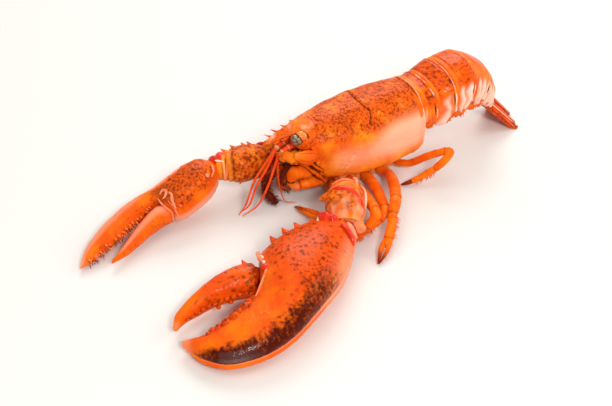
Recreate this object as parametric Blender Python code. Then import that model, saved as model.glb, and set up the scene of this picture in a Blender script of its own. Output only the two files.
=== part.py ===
"""A cooked lobster with a carapace 90 mm long from eye socket to rear edge.

It rests on its underside, claws forward, with the tail arched and the tail fan on the ground.
Sizes and places are in millimetres in the body's own frame: the middle plane is x = 0, the head
points to -Y, the left side is +X, the ground is z = 0 and the carapace's rear edge is at y = 0.
HOME then carries the whole to the middle of its own footprint, in metres.
"""

import math

import bmesh
import bpy
import numpy as np
from mathutils import Vector

MM = 0.001
HOME = np.array([-42.27, 82.99, 0.0])
GAP = 0.3                       # between two pieces that touch
ROUND = 12                      # points around an arm

HEAD_SHELL = ("head_shell", (0.84, 0.20, 0.045), 0.34)
UNDERSIDE = ("underside", (0.86, 0.36, 0.14), 0.45)
EYE = ("eye", (0.30, 0.20, 0.12), 0.12)
FEELERS = ("feelers", (0.72, 0.10, 0.03), 0.40)
MOUTH_LIMBS = ("mouth_limbs", (0.45, 0.09, 0.02), 0.45)
TAIL_SHELL = ("tail_shell", (0.88, 0.27, 0.12), 0.32)
TAIL_FAN = ("tail_fan", (0.80, 0.16, 0.03), 0.34)
SWIMMERETS = ("swimmerets", (0.90, 0.36, 0.06), 0.40)
CRUSHER_SHELL = ("crusher_shell", (0.78, 0.16, 0.03), 0.28)
CUTTER_SHELL = ("cutter_shell", (0.72, 0.13, 0.03), 0.30)
LEG_SHELL = ("leg_shell", (0.85, 0.19, 0.03), 0.36)


def clear_scene():
    for item in list(bpy.data.objects):
        bpy.data.objects.remove(item, do_unlink=True)


def material(finish):
    """A Principled material, made once for each finish."""
    name, colour, roughness = finish
    made = bpy.data.materials.get(name)
    if made is None:
        made = bpy.data.materials.new(name)
        made.use_nodes = True
        shader = made.node_tree.nodes["Principled BSDF"]
        shader.inputs["Base Color"].default_value = (*colour, 1.0)
        shader.inputs["Roughness"].default_value = roughness
    return made


def power_curve(angle, power):
    """Cosine and sine of an angle, squared off or pinched by a superellipse's power."""
    c, s = np.cos(angle), np.sin(angle)
    e = 2.0 / power
    return np.sign(c) * np.abs(c) ** e, np.sign(s) * np.abs(s) ** e


def smooth(points, count):
    """A Catmull-Rom curve through the points, with the given number of evenly timed places."""
    p = np.asarray(points, float)
    p = np.vstack([2 * p[0] - p[1], p, 2 * p[-1] - p[-2]])
    t = np.linspace(0, len(p) - 3, count)
    i = np.minimum(t.astype(int), len(p) - 4)
    f = (t - i)[:, None]
    a, b, c, d = p[i], p[i + 1], p[i + 2], p[i + 3]
    return 0.5 * (2 * b + (c - a) * f + (2 * a - 5 * b + 4 * c - d) * f ** 2
                  + (3 * b - a - 3 * c + d) * f ** 3)


def unit(v):
    v = np.asarray(v, float)
    return v / np.linalg.norm(v)


def turn(around):
    """Evenly spaced angles once round."""
    return np.linspace(0, 2 * math.pi, around, endpoint=False)


def skin(rings):
    """A closed bmesh over rings of points, each end closed by a fan about its middle."""
    bm = bmesh.new()
    rows = [[bm.verts.new(Vector(p * MM)) for p in ring] for ring in rings]
    for lower, upper in zip(rows, rows[1:]):
        for i in range(len(lower)):
            j = (i + 1) % len(lower)
            bm.faces.new((lower[i], lower[j], upper[j], upper[i]))
    for row, ring in ((rows[0], rings[0]), (rows[-1], rings[-1])):
        pole = bm.verts.new(Vector(np.mean(ring, axis=0) * MM))
        for i in range(len(row)):
            bm.faces.new((row[i], row[(i + 1) % len(row)], pole))
    bmesh.ops.recalc_face_normals(bm, faces=bm.faces)
    return bm


def trim(bm, point, outward):
    """Cuts away what lies beyond the plane on its outward side, and closes the cut."""
    geometry = list(bm.verts) + list(bm.edges) + list(bm.faces)
    bmesh.ops.bisect_plane(bm, geom=geometry, dist=1e-7, plane_co=Vector(np.asarray(point) * MM),
                           plane_no=Vector(outward), clear_outer=True)
    rim = [e for e in bm.edges if e.is_boundary]
    bmesh.ops.holes_fill(bm, edges=rim, sides=0)


def finish_object(name, bm, finish):
    """Makes the named object, carried to the footprint's middle, with its material."""
    bmesh.ops.remove_doubles(bm, verts=bm.verts, dist=1e-7)
    bmesh.ops.translate(bm, verts=bm.verts, vec=Vector(HOME * MM))
    bmesh.ops.triangulate(bm, faces=bm.faces)
    bmesh.ops.recalc_face_normals(bm, faces=bm.faces)
    mesh = bpy.data.meshes.new(name)
    bm.to_mesh(mesh)
    bm.free()
    mesh.materials.append(material(finish))
    mesh.shade_smooth()
    made = bpy.data.objects.new(name, mesh)
    bpy.context.scene.collection.objects.link(made)
    return made


def join(target, name, bm):
    """Joins a further closed shape to an object by an exact union."""
    helper = finish_object(name, bm, UNDERSIDE)
    helper.hide_render = True
    helper.display_type = "WIRE"
    union = target.modifiers.new(name, "BOOLEAN")
    union.operation = "UNION"
    union.solver = "EXACT"
    union.object = helper


THORN_PROFILE = ((0.0, 1.0), (0.55, 0.55), (1.0, 0.12))     # share of its length, share of its radius


def thorn(base, tip, radius, sides=5):
    """A short cone with a blunt tip, its root sunk into the shell."""
    base, tip = np.asarray(base, float), np.asarray(tip, float)
    along = unit(tip - base)
    across = unit(np.cross(along, (0.31, 0.22, 0.93)))
    other = np.cross(along, across)
    angle = turn(sides)[:, None]
    circle = radius * (np.cos(angle) * across + np.sin(angle) * other)
    return skin([base + (tip - base) * t + circle * share for t, share in THORN_PROFILE])


# ---- limbs -------------------------------------------------------------------------------

def tube_rings(path, radii, count, flat=1.0, up=(0, 0, 1), power=2.0, around=ROUND):
    """Rings across a smooth path; flat squeezes the radius along the up direction."""
    line = smooth(path, count)
    size = smooth([[r] for r in radii], count)[:, 0]
    along = np.gradient(line, axis=0)
    c, s = power_curve(turn(around), power)
    rings = []
    for p, t, r in zip(line, along, size):
        t = unit(t)
        side = unit(np.cross(t, up))
        top = np.cross(side, t)
        rings.append(p + r * (c[:, None] * side + flat * s[:, None] * top))
    return rings


def segment(path, radii, start=None, end=None, flat=1.0, count=5, around=ROUND):
    """One piece of a limb. start and end are (point, outward direction) planes that trim it."""
    p = np.asarray(path, float)
    rings = tube_rings(path, radii, count, flat, around=around)
    reach = max(radii) * 1.6
    if start is not None:
        rings.insert(0, rings[0] - unit(p[1] - p[0]) * reach)
    if end is not None:
        rings.append(rings[-1] + unit(p[-1] - p[-2]) * reach)
    bm = skin(rings)
    for plane in (start, end):
        if plane is not None:
            trim(bm, *plane)
    return bm


def planes_at(before, joint, after):
    """The end plane of one piece and the start plane of the next, halfway round and a gap apart."""
    before, joint, after = (np.asarray(p, float) for p in (before, joint, after))
    travel = unit(unit(joint - before) + unit(after - joint))
    return (joint - travel * GAP * 0.5, travel), (joint + travel * GAP * 0.5, -travel)


def limb(prefix, pieces, finish, root, flat=0.92, around=8):
    """A jointed limb. pieces holds (name, path, radii); root is the plane that trims its foot."""
    start = root
    for index, (name, path, radii) in enumerate(pieces):
        end, following = None, None
        if index + 1 < len(pieces):
            end, following = planes_at(path[-2], path[-1], pieces[index + 1][1][1])
        rows = max(3, 2 * len(path) - 1)
        bm = segment(path, radii, start, end, flat, count=rows, around=around)
        finish_object(prefix + "_" + name, bm, finish)
        start = following


# ---- carapace ----------------------------------------------------------------------------

# stations along the back: y, half width, top z, lower edge z
BACK = np.array([
    (-94.0, 14.5, 54.6, 22.0),
    (-80.0, 20.0, 56.6, 15.2),
    (-62.0, 24.8, 59.4, 11.8),
    (-42.0, 26.8, 61.8, 10.5),
    (-20.0, 26.6, 62.8, 11.2),
    (0.0, 24.6, 61.5, 15.0),
])
WIDEST_Z = 37.0
UPPER_POWER = 2.25              # the back is a rounded arch
LOWER_POWER = 4.8               # the cheeks fall almost straight
FRONT_TOP_Y = -93.5
FRONT_LOW_Y = -79.5
REAR_LOW_Y = -15.0
REAR_CURL = 0.62                # how far down the rear margin starts to sweep forward
FACE_POINT = np.array([0.0, -93.8, 52.0])
FACE_OUT = unit((0.0, -0.949, -0.316))


def carapace_rings(rows, around):
    """Rings from the face to the rear margin; both margins slant with the height."""
    angle = turn(around) + math.pi / around
    low = (1 - np.cos(angle)) / 2
    front = FRONT_TOP_Y + (FRONT_LOW_Y - FRONT_TOP_Y) * low
    rear = REAR_LOW_Y * np.clip((low - REAR_CURL) / (1 - REAR_CURL), 0, 1) ** 1.6
    upper = np.cos(angle) >= 0
    c_up, s_up = power_curve(angle, UPPER_POWER)
    c_low, s_low = power_curve(angle, LOWER_POWER)
    rings = []
    for share in np.linspace(0, 1, rows):
        y = front + (rear - front) * share
        half, top, edge = (np.interp(y, BACK[:, 0], BACK[:, k]) for k in (1, 2, 3))
        x = half * np.where(upper, s_up, s_low)
        z = WIDEST_Z + np.where(upper, (top - WIDEST_Z) * c_up, (WIDEST_Z - edge) * c_low)
        rings.append(np.stack([x, y, z], axis=1))
    return rings


ROSTRUM = ((0, -84, 54.6), (0, -92, 54.4), (0, -102, 53.2), (0, -112, 51.6), (0, -121, 49.4))
ROSTRUM_HALF = (9.5, 7.0, 5.4, 3.6, 0.8)
ROSTRUM_THORNS = ((-98.0, 5.4), (-105.5, 4.4), (-112.5, 3.2))       # y, half width of the beak there


def make_carapace():
    """The one-piece shell over head and chest, with its beak and the beak's side thorns."""
    shell = finish_object("carapace", skin(carapace_rings(11, 26)), HEAD_SHELL)
    join(shell, "rostrum", skin(tube_rings(ROSTRUM, ROSTRUM_HALF, 6, flat=0.55, around=8)))
    path = np.array(ROSTRUM)
    for y, half in ROSTRUM_THORNS:
        z = float(np.interp(-y, -path[:, 1], path[:, 2]))
        for side in (1, -1):
            base = (side * (half - 1.6), y, z)
            tip = (side * (half + 3.0), y - 4.6, z + 1.6)
            join(shell, "rostrum_thorn", thorn(base, tip, 1.7))


STERNUM = ((0, -80, 6.0), (0, -62, 5.0), (0, -40, 4.6), (0, -18, 4.8), (0, -8, 6.0))
STERNUM_HALF = (8.0, 13.4, 13.6, 12.0, 7.0)
STERNUM_TOP = 10.1


def make_sternum():
    """The plated underside between the legs, flat where the body rests."""
    bm = skin(tube_rings(STERNUM, STERNUM_HALF, 6, flat=0.40, power=4.0, around=12))
    trim(bm, (0, 0, 0), (0, 0, -1))
    trim(bm, (0, 0, STERNUM_TOP), (0, 0, 1))
    finish_object("sternum", bm, UNDERSIDE)


# ---- head --------------------------------------------------------------------------------

EYE_PLACE = {"left": (11.8, -99.0, 54.2), "right": (-9.8, -98.8, 47.6)}
EYE_RADIUS = 4.6
FACE = (FACE_POINT + FACE_OUT * GAP, -FACE_OUT)     # trims what is set against the face


def make_eye(side):
    bm = bmesh.new()
    bmesh.ops.create_uvsphere(bm, u_segments=10, v_segments=7, radius=EYE_RADIUS * MM)
    bmesh.ops.translate(bm, verts=bm.verts, vec=Vector(EYE_PLACE[side]) * MM)
    finish_object("eye_" + side, bm, EYE)


ANTENNA_BASE = ((13, -86, 35), (13.4, -95, 37.5), (12.8, -103, 39.3), (11.4, -109, 39.6))
ANTENNA_BASE_RADII = (7.2, 6.8, 4.9, 2.2)
ANTENNA_BASE_SHIFT = {"left": (1, 0.0), "right": (-1, -3.4)}        # side and height against the table


def make_antenna_base(side):
    """The thick foot of a long feeler, whose whip is gone."""
    sign, raised = ANTENNA_BASE_SHIFT[side]
    path = [(sign * x, y, z + raised) for x, y, z in ANTENNA_BASE]
    bm = skin(tube_rings(path, ANTENNA_BASE_RADII, 6, flat=0.85, around=10))
    trim(bm, *FACE)
    finish_object("antenna_base_" + side, bm, HEAD_SHELL)


# each short feeler: its stalk, then its two whips
ANTENNULES = {
    "left": [
        ((5.4, -98.5, 44), (5.6, -104, 42.6), (6, -110.5, 38.5)),
        ((6, -109.5, 39), (8.2, -114.5, 31), (11.2, -120.6, 21.5), (11.4, -129, 8), (9.3, -139.9, 1.3)),
        ((6, -109.5, 38.5), (8.6, -110, 26), (10.2, -108.6, 12), (10.6, -105.2, 3.2), (12.4, -97.8, 1.2)),
    ],
    "right": [
        ((-1.6, -98.5, 44.4), (-0.6, -105, 43.4), (2.4, -112.5, 39.5)),
        ((2, -111.5, 40), (4, -118.5, 35), (5.5, -128.6, 24), (6, -135.4, 8), (6.6, -141.6, 1.2)),
        ((2.6, -111.8, 39), (6.2, -119, 32), (8, -128, 21.5), (8.2, -134, 8), (4.6, -139.6, 1.2)),
    ],
}
STALK_RADII = (2.3, 2.3, 2.1)
WHIP_RADII = (1.2, 1.0, 0.9, 0.8, 0.5)


def make_antennule(side):
    """A stalk with its two whips, which hang to the ground."""
    stalk, *whips = ANTENNULES[side]
    made = finish_object("antennule_" + side, skin(tube_rings(stalk, STALK_RADII, 3, around=8)), FEELERS)
    for whip in whips:
        join(made, "whip", skin(tube_rings(whip, WHIP_RADII, 9, around=5)))


MAXILLIPEDS = {
    "left": (((14.0, -80.5, 11.8), (12.8, -93, 18.5), (9.2, -103.0, 18.5), (7.8, -104.0, 10.0),
              (9.8, -97.5, 5.2)), (4.6, 4.6, 4.0, 3.3, 1.8)),
    "right": (((-8.5, -84, 12.5), (-6.5, -98, 17.5), (-1.4, -110, 14.5), (5.0, -115.5, 7.0),
               (10.5, -116.0, 2.6)), (4.0, 4.0, 3.6, 3.2, 1.6)),
}
MOUTH = ((0, -80, 27), (0, -93, 24), (1.6, -99, 16), (3.2, -101.8, 10.5))
MOUTH_RADII = (7.5, 5.4, 2.6, 1.4)
CLEAR_Z = 0.2                   # limbs that only hang stop this far above the ground


def make_maxilliped(side):
    """The leg-like outer mouth limb, bent back under the face."""
    path, radii = MAXILLIPEDS[side]
    bm = skin(tube_rings(path, radii, 10, flat=0.9, around=9))
    trim(bm, *FACE)
    trim(bm, (0, 0, CLEAR_Z), (0, 0, -1))
    finish_object("maxilliped_" + side, bm, MOUTH_LIMBS)


def make_mouthparts():
    bm = skin(tube_rings(MOUTH, MOUTH_RADII, 5, around=10))
    trim(bm, *FACE)
    finish_object("mouthparts", bm, MOUTH_LIMBS)


# ---- tail --------------------------------------------------------------------------------

# each joint plane of the tail: back (y, z), side plates' tips (y, z) and half width
TAIL_JOINTS = (
    ((2.6, 60.2), (3.0, 27.0), 22.6),
    ((10.5, 61.4), (12.5, 28.0), 22.8),
    ((26.0, 68.0), (27.5, 27.5), 23.8),
    ((45.5, 69.9), (40.0, 31.0), 23.2),
    ((62.0, 60.6), (49.5, 31.0), 21.2),
    ((70.0, 46.5), (56.5, 28.5), 18.2),
    ((72.0, 32.0), (62.5, 24.0), 14.2),
)
BELLY_RISE = 9.0                # the belly lies this far above the tips of the side plates
TAIL_POWER = 2.4
RING_SHARES = (0.35, 0.70)      # hoops of a ring between its two joints
RING_SWELL = 0.035


def tail_hoop(back, belly, half, around=24):
    """A closed hoop in a plane across the tail, its side plates hanging below a raised belly."""
    back, belly = np.array([0.0, *back]), np.array([0.0, *belly])
    c, s = power_curve(turn(around), TAIL_POWER)
    raised = BELLY_RISE * np.clip(-c, 0, 1) ** 3 * np.exp(-(s / 0.55) ** 2)
    depth = np.linalg.norm(belly - back)
    hoop = back + (depth * (1 - c) / 2 - raised)[:, None] * (belly - back) / depth
    hoop[:, 0] = half * s
    return hoop


def make_tail():
    """Six shell rings, each swelling a little between its two joints."""
    joints = [tail_hoop(*joint) for joint in TAIL_JOINTS]
    for number, (fore, aft) in enumerate(zip(joints, joints[1:]), start=1):
        inset = GAP * 1.4 / np.linalg.norm(aft - fore, axis=1).max()
        hoops = []
        for share in (inset, *RING_SHARES, 1 - inset):
            hoop = fore + (aft - fore) * share
            hub = hoop.mean(axis=0)
            hoops.append(hub + (hoop - hub) * (1 + RING_SWELL * math.sin(math.pi * share)))
        finish_object("abdomen_%d" % number, skin(hoops), TAIL_SHELL)


# the fan hangs from the last ring; its blades lie in one plane that leans back as it falls
FAN_ROOT = np.array([0.0, 75.0, 25.5])
FAN_DOWN = unit((0.0, 0.575, -0.818))
FAN_OUT = unit((0.0, 0.818, 0.575))
FAN_REACH = 30.4
BLADE_STEP = 2.6                # from one layer of blades to the next
BLADE_RIBS = ((0.0, 0.55), (0.3, 0.85), (0.65, 1.0), (0.88, 0.9), (1.0, 0.55))
BLADE_THICK = (1.25, 0.60)      # half thickness at the root and at the rim
# root x, half width, lean in degrees, reach against the telson's, layer
BLADES = {
    "telson": (0.0, 7.0, 0.0, 1.0, 0),
    "uropod_left_inner": (4.5, 5.4, 9.0, 1.0, 1),
    "uropod_left_outer": (6.0, 5.0, 15.0, 1.04, 2),
    "uropod_right_inner": (-4.5, 5.4, -9.0, 1.0, 1),
    "uropod_right_outer": (-6.0, 5.0, -15.0, 1.04, 2),
}


def make_blade(name, root_x, half, lean, reach, layer):
    """A flat rounded blade of the fan; its layer stacks it clear of the next."""
    splay = math.radians(lean)
    along = FAN_DOWN * math.cos(splay) + np.array([math.sin(splay), 0, 0])
    across = np.cross(along, FAN_OUT)
    root = FAN_ROOT + np.array([root_x, 0, 0]) - FAN_OUT * layer * BLADE_STEP
    length = FAN_REACH * reach / math.cos(splay)
    c, s = power_curve(turn(10), 2.2)
    rings = []
    for share, wide in BLADE_RIBS:
        thick = BLADE_THICK[0] + (BLADE_THICK[1] - BLADE_THICK[0]) * share
        section = half * wide * c[:, None] * across + thick * s[:, None] * FAN_OUT
        rings.append(root + along * length * share + section)
    bm = skin(rings)
    trim(bm, (0, 0, 0), (0, 0, -1))
    finish_object(name, bm, TAIL_FAN)


SWIMMERET_SPREAD = 0.40         # root x against the tail's half width
SWIMMERET_SINK = 1.5            # root above the plane of the side plates' tips
SWIMMERET_HANG = (4.0, -3.0, -11.0)
SWIMMERET_RADII = (3.4, 4.2, 1.6)


def make_swimmerets():
    """Thin paired flaps that hang from the belly of rings two to four."""
    for number in range(2, 5):
        _, fore, half = TAIL_JOINTS[number - 1]
        _, aft, _ = TAIL_JOINTS[number]
        y, z = (fore[0] + aft[0]) / 2, (fore[1] + aft[1]) / 2
        for word, side in (("left", 1), ("right", -1)):
            root = np.array([side * half * SWIMMERET_SPREAD, y, z + SWIMMERET_SINK])
            tip = root + np.array(SWIMMERET_HANG) * (side, 1, 1)
            path = (root, (root + tip) / 2, tip)
            rings = tube_rings(path, SWIMMERET_RADII, 5, flat=0.3, up=(0, 1, 0.3), around=8)
            finish_object("swimmeret_%s_%d" % (word, number), skin(rings), SWIMMERETS)


# ---- claws -------------------------------------------------------------------------------

class Paddle:
    """A flat frame for a claw: origin at the wrist, s along it, u across it and n through it."""

    def __init__(self, origin, along, across):
        self.origin = np.asarray(origin, float)
        self.s = unit(along)
        across = np.asarray(across, float)
        self.u = unit(across - self.s * float(across @ self.s))
        self.n = np.cross(self.u, self.s)
        self.n *= np.sign(self.n[2])

    def at(self, s, u, n=0.0):
        s, u, n = np.atleast_1d(s, u, n)
        return self.origin + s[:, None] * self.s + u[:, None] * self.u + n[:, None] * self.n

    def rings(self, ribs, rows, power=2.2, around=20):
        """Rings over ribs of (s, u) near edge, (s, u) far edge, half thickness and lift."""
        line = smooth([(*near, *far, thick, lift) for near, far, thick, lift in ribs], rows)
        c, s = power_curve(turn(around), power)
        out = []
        for near_s, near_u, far_s, far_u, thick, lift in line:
            ms, mu = (near_s + far_s) / 2, (near_u + far_u) / 2
            hs, hu = (far_s - near_s) / 2, (far_u - near_u) / 2
            out.append(self.at(ms + hs * c, mu + hu * c, lift + thick * s))
        return out


CRUSHER = Paddle((73.0, -95.5, 0.0), (0.224, -0.9746, 0.0), (0.9746, 0.224, 0.0))
CRUSHER_PALM = (
    ((6.0, -9.5), (-5.5, 9.5), 8.5, 18.0),
    ((14.0, -15.5), (4.0, 19.5), 13.5, 17.5),
    ((25.0, -20.0), (20.0, 28.5), 17.0, 17.8),
    ((40.0, -21.0), (40.0, 37.0), 18.6, 18.7),
    ((54.0, -18.5), (60.0, 43.5), 18.6, 18.7),
    ((66.0, -14.0), (77.0, 48.0), 17.0, 17.2),
    ((82.0, 6.5), (93.0, 50.2), 14.0, 14.6),
    ((95.0, 9.5), (108.0, 49.5), 12.5, 12.9),
    ((109.0, 11.5), (122.0, 45.0), 11.0, 11.4),
    ((121.0, 11.5), (134.0, 36.5), 9.0, 9.6),
    ((131.0, 7.5), (141.0, 22.5), 6.6, 7.6),
    ((137.5, 0.5), (142.5, 6.0), 2.4, 6.5),
)
CRUSHER_FINGER = (
    ((71.5, -19.0), (85.0, 3.5), 11.0, 15.0),
    ((80.0, -21.5), (90.0, -0.5), 11.0, 14.6),
    ((93.0, -22.0), (98.0, -4.2), 9.8, 13.6),
    ((107.0, -20.8), (107.5, -7.6), 8.2, 12.2),
    ((121.0, -18.6), (119.5, -9.0), 6.0, 10.6),
    ((131.0, -15.8), (129.0, -9.4), 4.4, 9.4),
    ((138.0, -10.0), (136.5, -7.4), 1.8, 8.6),
)
CRUSHER_THORNS = ((22.0, -19.0), (32.0, -20.6), (44.0, -20.6))      # s, u on the inner edge

CUTTER = Paddle((-20.3, -143.9, 25.0), (0.254, -0.946, -0.1905), (0.955, 0.274, -0.085))
CUTTER_PALM = (
    ((1.0, 9.0), (-1.0, -9.5), 9.0, 0.0),
    ((7.0, 12.5), (4.5, -14.5), 11.5, 0.5),
    ((18.0, 15.8), (16.0, -17.0), 12.4, 0.5),
    ((32.0, 16.8), (31.0, -18.0), 12.0, 0.0),
    ((46.5, 13.6), (45.0, -19.2), 10.5, -0.5),
    ((52.5, -5.5), (56.0, -20.8), 8.2, -0.8),
    ((64.0, -6.5), (66.0, -22.4), 7.4, -1.0),
    ((78.0, -5.2), (80.0, -21.8), 6.8, -1.0),
    ((92.0, -3.8), (95.0, -18.6), 6.0, -0.6),
    ((104.0, -3.2), (107.0, -13.6), 4.6, 0.0),
    ((113.0, -2.6), (115.5, -7.8), 3.0, 0.6),
    ((119.0, -2.6), (120.0, -3.8), 1.0, 1.2),
)
CUTTER_FINGER = (
    ((50.5, 12.2), (54.5, -4.3), 8.2, -0.5),
    ((58.0, 11.4), (60.5, -4.0), 7.6, -0.6),
    ((68.0, 11.4), (69.0, -1.8), 6.8, -0.6),
    ((80.0, 12.4), (80.0, 1.8), 5.6, -0.3),
    ((92.0, 12.8), (91.5, 6.2), 4.0, 0.2),
    ((103.0, 11.2), (102.5, 9.8), 1.2, 1.0),
)
THORN_LENGTH = 5.5
THORN_SINK = 2.2
THORN_LEAN = -0.35              # the thorns lean back toward the wrist
WRIST_REACH = 10.0


def hinge_plane(paddle, a, b, outward):
    """The upright plane through two (s, u) places of a claw, facing the outward side, a gap off."""
    p, q = paddle.at(*a)[0], paddle.at(*b)[0]
    normal = unit(np.cross(q - p, paddle.n))
    normal *= np.sign(normal @ (outward[0] * paddle.s + outward[1] * paddle.u))
    return p - normal * GAP, normal


def make_palm(name, paddle, ribs, wrist, thorns, finish):
    """The claw's palm and fixed finger in one, its underside flat on the ground."""
    bm = skin(paddle.rings(ribs, 20, around=14))
    trim(bm, *wrist)
    trim(bm, (0, 0, 0), (0, 0, -1))
    body = finish_object(name, bm, finish)
    middle_lift = ribs[3][3]
    for s, u in thorns:
        out = unit(THORN_LEAN * paddle.s + np.sign(u) * paddle.u)
        base = paddle.at(s, u, middle_lift)[0] - out * THORN_SINK
        join(body, "thorn", thorn(base, base + out * (THORN_SINK + THORN_LENGTH), 2.0))


ARMS = {
    "arm_left": {
        "side": 1, "finish": CRUSHER_SHELL, "paddle": CRUSHER, "thorns": CRUSHER_THORNS,
        "merus": ((13.6, -70, 6.2), (26, -74, 8.0), (38, -77.5, 17), (47, -81, 25.5)),
        "merus_radii": (5.6, 6.0, 8.6, 9.0),
        "carpus": ((47, -81, 25.5), (54, -85, 26), (64, -90.5, 23.5), (73, -95.5, 19)),
        "carpus_radii": (9.4, 12.6, 13.4, 9.6),
        "palm": CRUSHER_PALM, "finger": CRUSHER_FINGER,
        "hinge": ((66.5, -15.0), (82.5, 5.4), (-1.0, 1.0)),
    },
    "arm_right": {
        "side": -1, "finish": CUTTER_SHELL, "paddle": CUTTER, "thorns": (),
        "merus": ((-13.6, -70, 6.2), (-26, -75, 8.5), (-32, -90, 12), (-22.5, -106, 19)),
        "merus_radii": (5.6, 6.4, 8.8, 9.4),
        "carpus": ((-22.5, -106, 19), (-18, -115.5, 22.5), (-16.5, -130, 25.5), (-20, -142.5, 25.5)),
        "carpus_radii": (10.0, 12.6, 13.2, 9.6),
        "palm": CUTTER_PALM, "finger": CUTTER_FINGER,
        "hinge": ((49.0, 14.0), (54.5, -5.2), (-1.0, -0.3)),
    },
}
ARM_ROOT_X = 14.3
ARM_FLAT = 0.94


def make_arm(prefix, arm):
    """Merus, carpus, then the claw: its palm, and the hinged finger on the palm's slanting face."""
    side, finish, paddle = arm["side"], arm["finish"], arm["paddle"]
    merus, carpus = arm["merus"], arm["carpus"]
    root = ((side * ARM_ROOT_X, 0, 0), (-side, 0, 0))
    end, start = planes_at(merus[-2], merus[-1], carpus[1])
    bm = segment(merus, arm["merus_radii"], root, end, ARM_FLAT, count=7)
    finish_object(prefix + "_merus", bm, finish)
    end, wrist = planes_at(carpus[-2], carpus[-1], np.array(carpus[-1]) + paddle.s * WRIST_REACH)
    bm = segment(carpus, arm["carpus_radii"], start, end, ARM_FLAT, count=7)
    finish_object(prefix + "_carpus", bm, finish)
    make_palm(prefix + "_propodus", paddle, arm["palm"], wrist, arm["thorns"], finish)
    bm = skin(paddle.rings(arm["finger"], 9, around=12))
    trim(bm, *hinge_plane(paddle, *arm["hinge"]))
    finish_object(prefix + "_dactylus", bm, finish)


# ---- walking legs ------------------------------------------------------------------------

# each left leg: its pieces with their paths and radii, from the body outward
LEGS_LEFT = {
    "leg_left_1": (
        ("merus", ((13.8, -57, 5.3), (25, -58, 6.6), (48, -64.5, 14.5), (69, -70.6, 21)),
         (4.5, 4.6, 4.7, 4.2)),
        ("carpus", ((69, -70.6, 21), (74.5, -73.6, 19.5), (74, -79, 12.5)), (4.0, 4.2, 3.4)),
        ("propodus", ((74, -79, 12.5), (70, -82.5, 9.8), (60, -89, 6.6), (47, -95, 6.0)),
         (3.3, 3.2, 3.2, 3.6)),
        ("dactylus", ((47, -95, 6.0), (34, -100.5, 4.8), (19.8, -104.2, 2.6)), (3.4, 2.8, 1.0)),
    ),
    "leg_left_2": (
        ("merus", ((13.8, -44, 5.3), (25, -45, 6.4), (45, -51.5, 10.5), (62, -58, 13)),
         (4.4, 4.5, 4.5, 4.0)),
        ("carpus", ((62, -58, 13), (67, -60.6, 12.2), (68.7, -65.4, 8.8)), (3.8, 3.8, 3.2)),
        ("propodus", ((68.7, -65.4, 8.8), (68.4, -75.5, 4.4), (71.5, -87, 3.0)), (3.0, 2.8, 2.4)),
        ("dactylus", ((71.5, -87, 3.0), (74, -94, 2.2), (77, -99.5, 1.4)), (2.3, 1.8, 0.6)),
    ),
    "leg_left_3": (
        ("merus", ((13.8, -31, 5.2), (26, -30.4, 7.0), (46, -39.5, 14.5), (64, -50.0, 19)),
         (4.4, 4.4, 4.7, 4.5)),
        ("carpus", ((64, -50.5, 19), (69, -54, 18.6), (74, -59, 16)), (4.3, 4.5, 3.8)),
        ("propodus", ((74, -59, 16), (80, -63.6, 12), (86.5, -70, 7.2)), (3.8, 3.7, 3.9)),
        ("dactylus", ((86.5, -70, 7.2), (93, -78, 3.8), (99.3, -86, 1.6)), (3.7, 3.0, 0.9)),
    ),
    "leg_left_4": (
        ("merus", ((13.8, -16, 5.3), (24, -10.5, 9.0), (34, -2.2, 18.5), (44.5, 4.6, 27)),
         (3.8, 3.8, 4.2, 4.0)),
        ("carpus", ((44.5, 4.6, 27), (49.0, 5.4, 27), (49.4, 0, 21.5), (46, -4.6, 15.8)),
         (3.9, 4.2, 4.2, 3.6)),
        ("propodus", ((46, -4.6, 15.8), (42.5, -11.5, 10), (38.5, -18.7, 5)), (3.5, 3.4, 2.8)),
        ("dactylus", ((38.5, -18.7, 5), (36.4, -21.8, 2.9), (34.2, -24.8, 1.2)), (2.7, 2.0, 0.8)),
    ),
}
# each right leg, folded back beside the body: root y, knee, ankle and tip
LEGS_RIGHT = {
    "leg_right_1": (-57, (-46, -57, 14), (-56, -47, 7), (-60, -36, 1.2)),
    "leg_right_2": (-44, (-45, -40, 14), (-56, -28, 7), (-60, -17, 1.2)),
    "leg_right_3": (-31, (-44, -22, 14), (-54, -9, 7), (-58, 3, 1.2)),
    "leg_right_4": (-16, (-40, -2, 16), (-46, 12, 8), (-50, 22, 1.2)),
}
LEG_ROOT_X = 14.2
HIP = (-25.0, 0.5, 6.4)         # x, y past the root and z of the first bend of a right leg
KNEE_BEND = (-3.0, -1.0, 1.5)
KNEE_REACH = 6.0
MERUS_RADII = (4.4, 4.5, 4.6, 4.1)
SHIN_RADII = (4.0, 3.9, 3.2, 0.9)


def right_leg(y, knee, ankle, tip):
    """The two pieces of a folded leg, from its root's y and its three joints."""
    knee, ankle = np.array(knee, float), np.array(ankle, float)
    hip = np.array([HIP[0], y + HIP[1], HIP[2]])
    bend = knee + unit(ankle - knee) * KNEE_REACH + KNEE_BEND
    thigh = ((-LEG_ROOT_X + 0.4, y, 5.3), hip, (hip + knee) / 2, knee)
    return ("merus", thigh, MERUS_RADII), ("propodus", (knee, bend, ankle, tip), SHIN_RADII)


def make_legs():
    """Four walking legs on each side, their roots against the sides of the sternum."""
    for prefix, pieces in LEGS_LEFT.items():
        limb(prefix, pieces, LEG_SHELL, ((LEG_ROOT_X, 0, 0), (-1, 0, 0)))
    for prefix, places in LEGS_RIGHT.items():
        limb(prefix, right_leg(*places), LEG_SHELL, ((-LEG_ROOT_X, 0, 0), (1, 0, 0)))


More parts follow.
